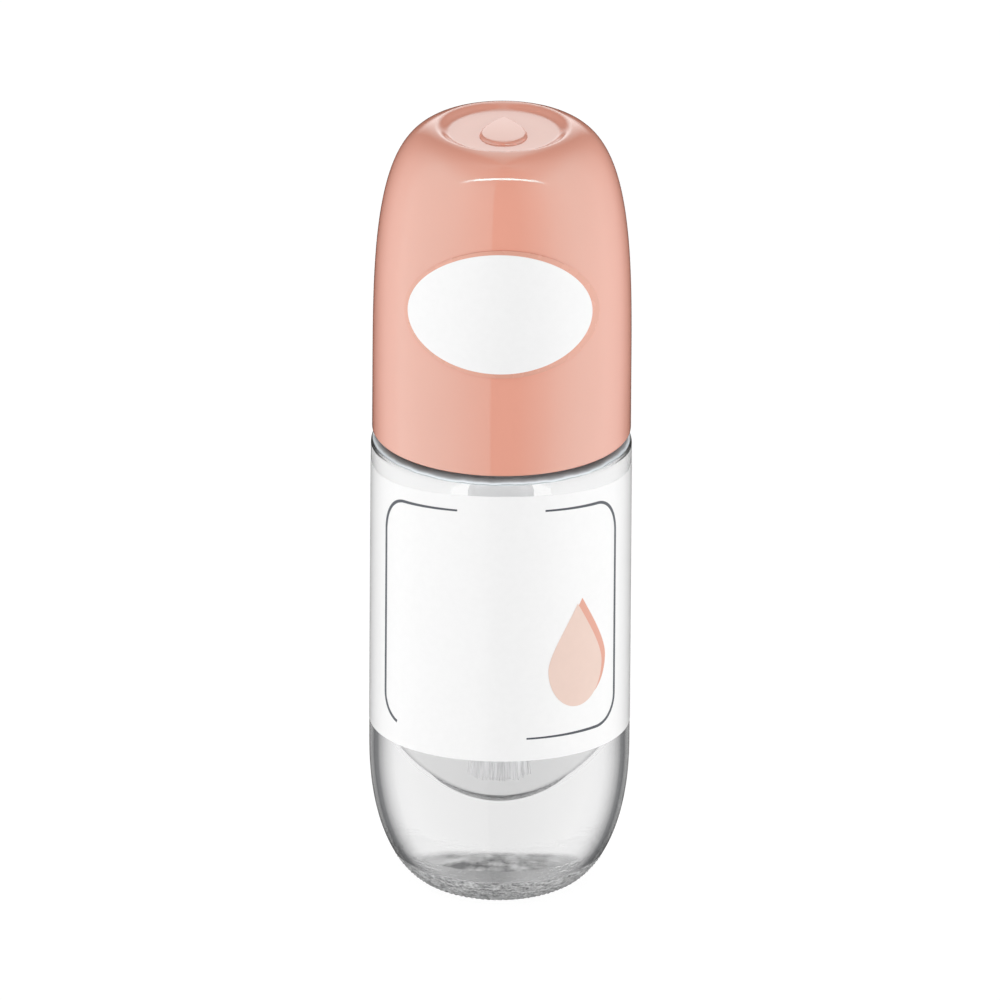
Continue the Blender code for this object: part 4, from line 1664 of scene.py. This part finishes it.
@dataclass(frozen=True)
class Lamp:
    """A soft rectangular lamp that faces the bottle, seen by no camera, mirror or glass."""

    name: str
    azimuth: float
    elevation: float
    power: float
    width: float = 0.9
    height: float = 0.54
    distance: float = 1.1

    def hang(self, aim: Vector) -> None:
        """Makes the lamp. Its angles are in degrees and azimuth 0 is the front."""
        data = bpy.data.lights.new(self.name, "AREA")
        data.shape, data.size, data.size_y, data.energy = "RECTANGLE", self.width, self.height, self.power
        lamp = linked(self.name, data)
        a, e = math.radians(self.azimuth), math.radians(self.elevation)
        away = Vector((math.sin(a) * math.cos(e), -math.cos(a) * math.cos(e), math.sin(e)))
        lamp.location = away * self.distance + aim
        lamp.rotation_mode = "QUATERNION"
        lamp.rotation_quaternion = away.to_track_quat("Z", "Y")
        lamp.visible_camera = False
        lamp.visible_glossy = False
        lamp.visible_transmission = False


@dataclass
class Studio:
    """The floor, the light and the camera. The view is the photograph's: from the front, 22.5 degrees above.

    The boxes give the light that a mirror sees at an azimuth in degrees from the front, to either side. A
    fade gives the two ends that it runs between and its level at each.
    """

    elevation: float = math.radians(22.5)
    roll: float = math.radians(0.395)
    pixel: float = 0.000095873
    pixels: int = 1000
    aim_height: float = 0.03874
    aim_across: float = -0.000095
    distance: float = 4.0
    sensor: float = 36.0
    clip_end: float = 50.0
    floor_half: float = 3.0
    floor_colour: float = 0.8
    floor_shade: float = 0.16
    floor_glow: float = 0.9
    fill: float = 0.5
    lamps: Sequence[Lamp] = (
        Lamp("lamp_left", -60, 9, 6.4),
        Lamp("lamp_right", 60, 9, 6.4),
        Lamp("lamp_back", 180, 9, 5.8),
        Lamp("lamp_top", 0, 78, 1.1),
    )
    left_box: Sequence[Point] = (
        (0, 0.05), (9.6, 0.05), (10.2, 0.38), (25, 0.52), (47, 0.74), (64, 0.83), (86, 0.83), (102, 0.74),
        (113, 0.52), (123, 0.38), (138, 0.16), (149, 0.06), (165, 0.0), (180, 0.0),
    )
    right_box: Sequence[Point] = (
        (0, 0.05), (14, 0.05), (30, 0.27), (39, 0.4), (51, 0.65), (64, 0.77), (76, 0.83), (90, 0.76),
        (106, 0.66), (119, 0.46), (134, 0.24), (144, 0.1), (156, 0.03), (170, 0.0), (180, 0.0),
    )
    box_fade: Fade = (0.6, 0.98, 4.0, 1.2)
    wall_sides: Point = (0.86, 0.97)
    wall_foot: Fade = (0.0, 0.2, 0.0, 2.6)
    wall_top: Fade = (0.8, 1.0, 1.0, 0.35)
    bar_rise: float = 1.6
    bar_sag: float = 0.1
    bar_edge: Fade = (0.05, 0.13, 1.0, 0.0)
    bar_end: Fade = (0.5, 1.6, 1.0, 0.0)
    bar_light: float = 20.0
    least_ahead: float = 0.001

    def camera(self) -> None:
        """Makes the camera: a long lens that frames the photograph's field."""
        data = bpy.data.cameras.new("camera")
        data.sensor_width = self.sensor
        data.lens = self.sensor * self.distance / (self.pixel * self.pixels)
        data.clip_end = self.clip_end
        camera = linked("camera", data)
        back = Vector((0, -math.cos(self.elevation), math.sin(self.elevation)))
        camera.location = Vector((self.aim_across, 0, self.aim_height)) + back * self.distance
        camera.rotation_mode = "QUATERNION"
        camera.rotation_quaternion = (-back).to_track_quat("-Z", "Y") @ Quaternion((0, 0, 1), self.roll)
        bpy.context.scene.camera = camera

    def floor(self) -> None:
        """Makes the pale floor. It keeps a faint shadow, and mirrors see the studio through it."""
        half = self.floor_half
        mesh = bpy.data.meshes.new("floor")
        corners = [(-half, -half, 0), (half, -half, 0), (half, half, 0), (-half, half, 0)]
        mesh.from_pydata(corners, [], [(0, 1, 2, 3)])
        floor = linked("floor", mesh)
        material, graph = new_material("pale_floor")
        plain, faint = (
            graph.add("ShaderNodeBsdfDiffuse", {"Color": (level, level, level, 1)}).outputs[0]
            for level in (self.floor_colour, self.floor_shade)
        )
        glow = graph.add("ShaderNodeEmission", {"Color": WHITE, "Strength": self.floor_glow}).outputs[0]
        shown = graph.add("ShaderNodeAddShader", {0: faint, 1: glow}).outputs[0]
        base = graph.blended(graph.seen(), plain, shown)
        open_floor = graph.add("ShaderNodeBsdfTransparent").outputs[0]
        graph.close(graph.blended(graph.mirrored(), base, open_floor))
        mesh.materials.append(material)
        floor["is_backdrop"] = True

    def reflections(self, graph: Graph) -> Socket:
        """What mirrors see: two tall soft boxes at the sides, a bright wall behind and a bar high in front.

        Args:
            graph: the world's graph.

        Returns:
            The light as a number.
        """
        x, y, z = graph.parts(graph.add("ShaderNodeTexCoord").outputs["Generated"])
        front = graph.times(y, -1.0)
        azimuth = graph.times(graph.math("ARCTAN2", graph.math("ABSOLUTE", x), front), 1 / math.pi)
        left, right = (
            graph.ramp(azimuth, [(degrees / 180, (level, level, level)) for degrees, level in box])
            for box in (self.left_box, self.right_box)
        )
        box = graph.mixed(graph.math("GREATER_THAN", x, 0.0), left, right)
        box = graph.times(box, graph.smooth(z, *self.box_fade))
        wall = graph.times(graph.smooth(azimuth, *self.wall_sides), graph.smooth(z, *self.wall_foot))
        wall = graph.times(wall, graph.smooth(z, *self.wall_top))
        ahead = graph.math("MAXIMUM", front, self.least_ahead)
        across = graph.math("ABSOLUTE", graph.math("DIVIDE", x, ahead))
        sag = graph.times(across, across, self.bar_sag)
        rise = graph.math("ADD", graph.math("DIVIDE", z, ahead), sag)
        away = graph.math("ABSOLUTE", graph.math("SUBTRACT", rise, self.bar_rise))
        bar = graph.times(graph.smooth(away, *self.bar_edge), graph.smooth(across, *self.bar_end))
        return graph.math("ADD", graph.math("MAXIMUM", box, wall), graph.times(bar, self.bar_light))

    def world(self) -> None:
        """Makes the world: white to the camera and through glass, an even fill, and the reflections."""
        world = bpy.data.worlds.new("studio")
        bpy.context.scene.world = world
        world.use_nodes = True
        world.cycles.sampling_method = "NONE"
        graph = Graph(world.node_tree)
        white, fill, mirrors = (
            graph.add("ShaderNodeBackground", {"Color": WHITE, "Strength": strength}).outputs[0]
            for strength in (1.0, self.fill, self.reflections(graph))
        )
        base = graph.blended(graph.seen(), fill, white)
        mix = graph.blended(graph.mirrored(), base, mirrors)
        graph.add("ShaderNodeOutputWorld", {0: mix})

    def build(self) -> None:
        """Builds all of it."""
        bpy.context.scene.view_settings.view_transform = "Standard"
        self.camera()
        self.world()
        self.floor()
        for lamp in self.lamps:
            lamp.hang(Vector((0, 0, self.aim_height)))


def main() -> None:
    """Builds the studio and every piece."""
    logging.basicConfig(level=logging.INFO, format="%(message)s")
    Studio().build()
    bottle = Bottle()
    for assembly in (bottle, Label(bottle), Overcap(bottle), Closure(), Brush()):
        assembly.build()
        LOG.info("%s done", type(assembly).__name__)
    boxes = {"cad": CAD_BOX, "visual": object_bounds()}
    {name: [list(corner) for corner in box] for name, box in boxes.items()}


if __name__ == "__main__":
    main()
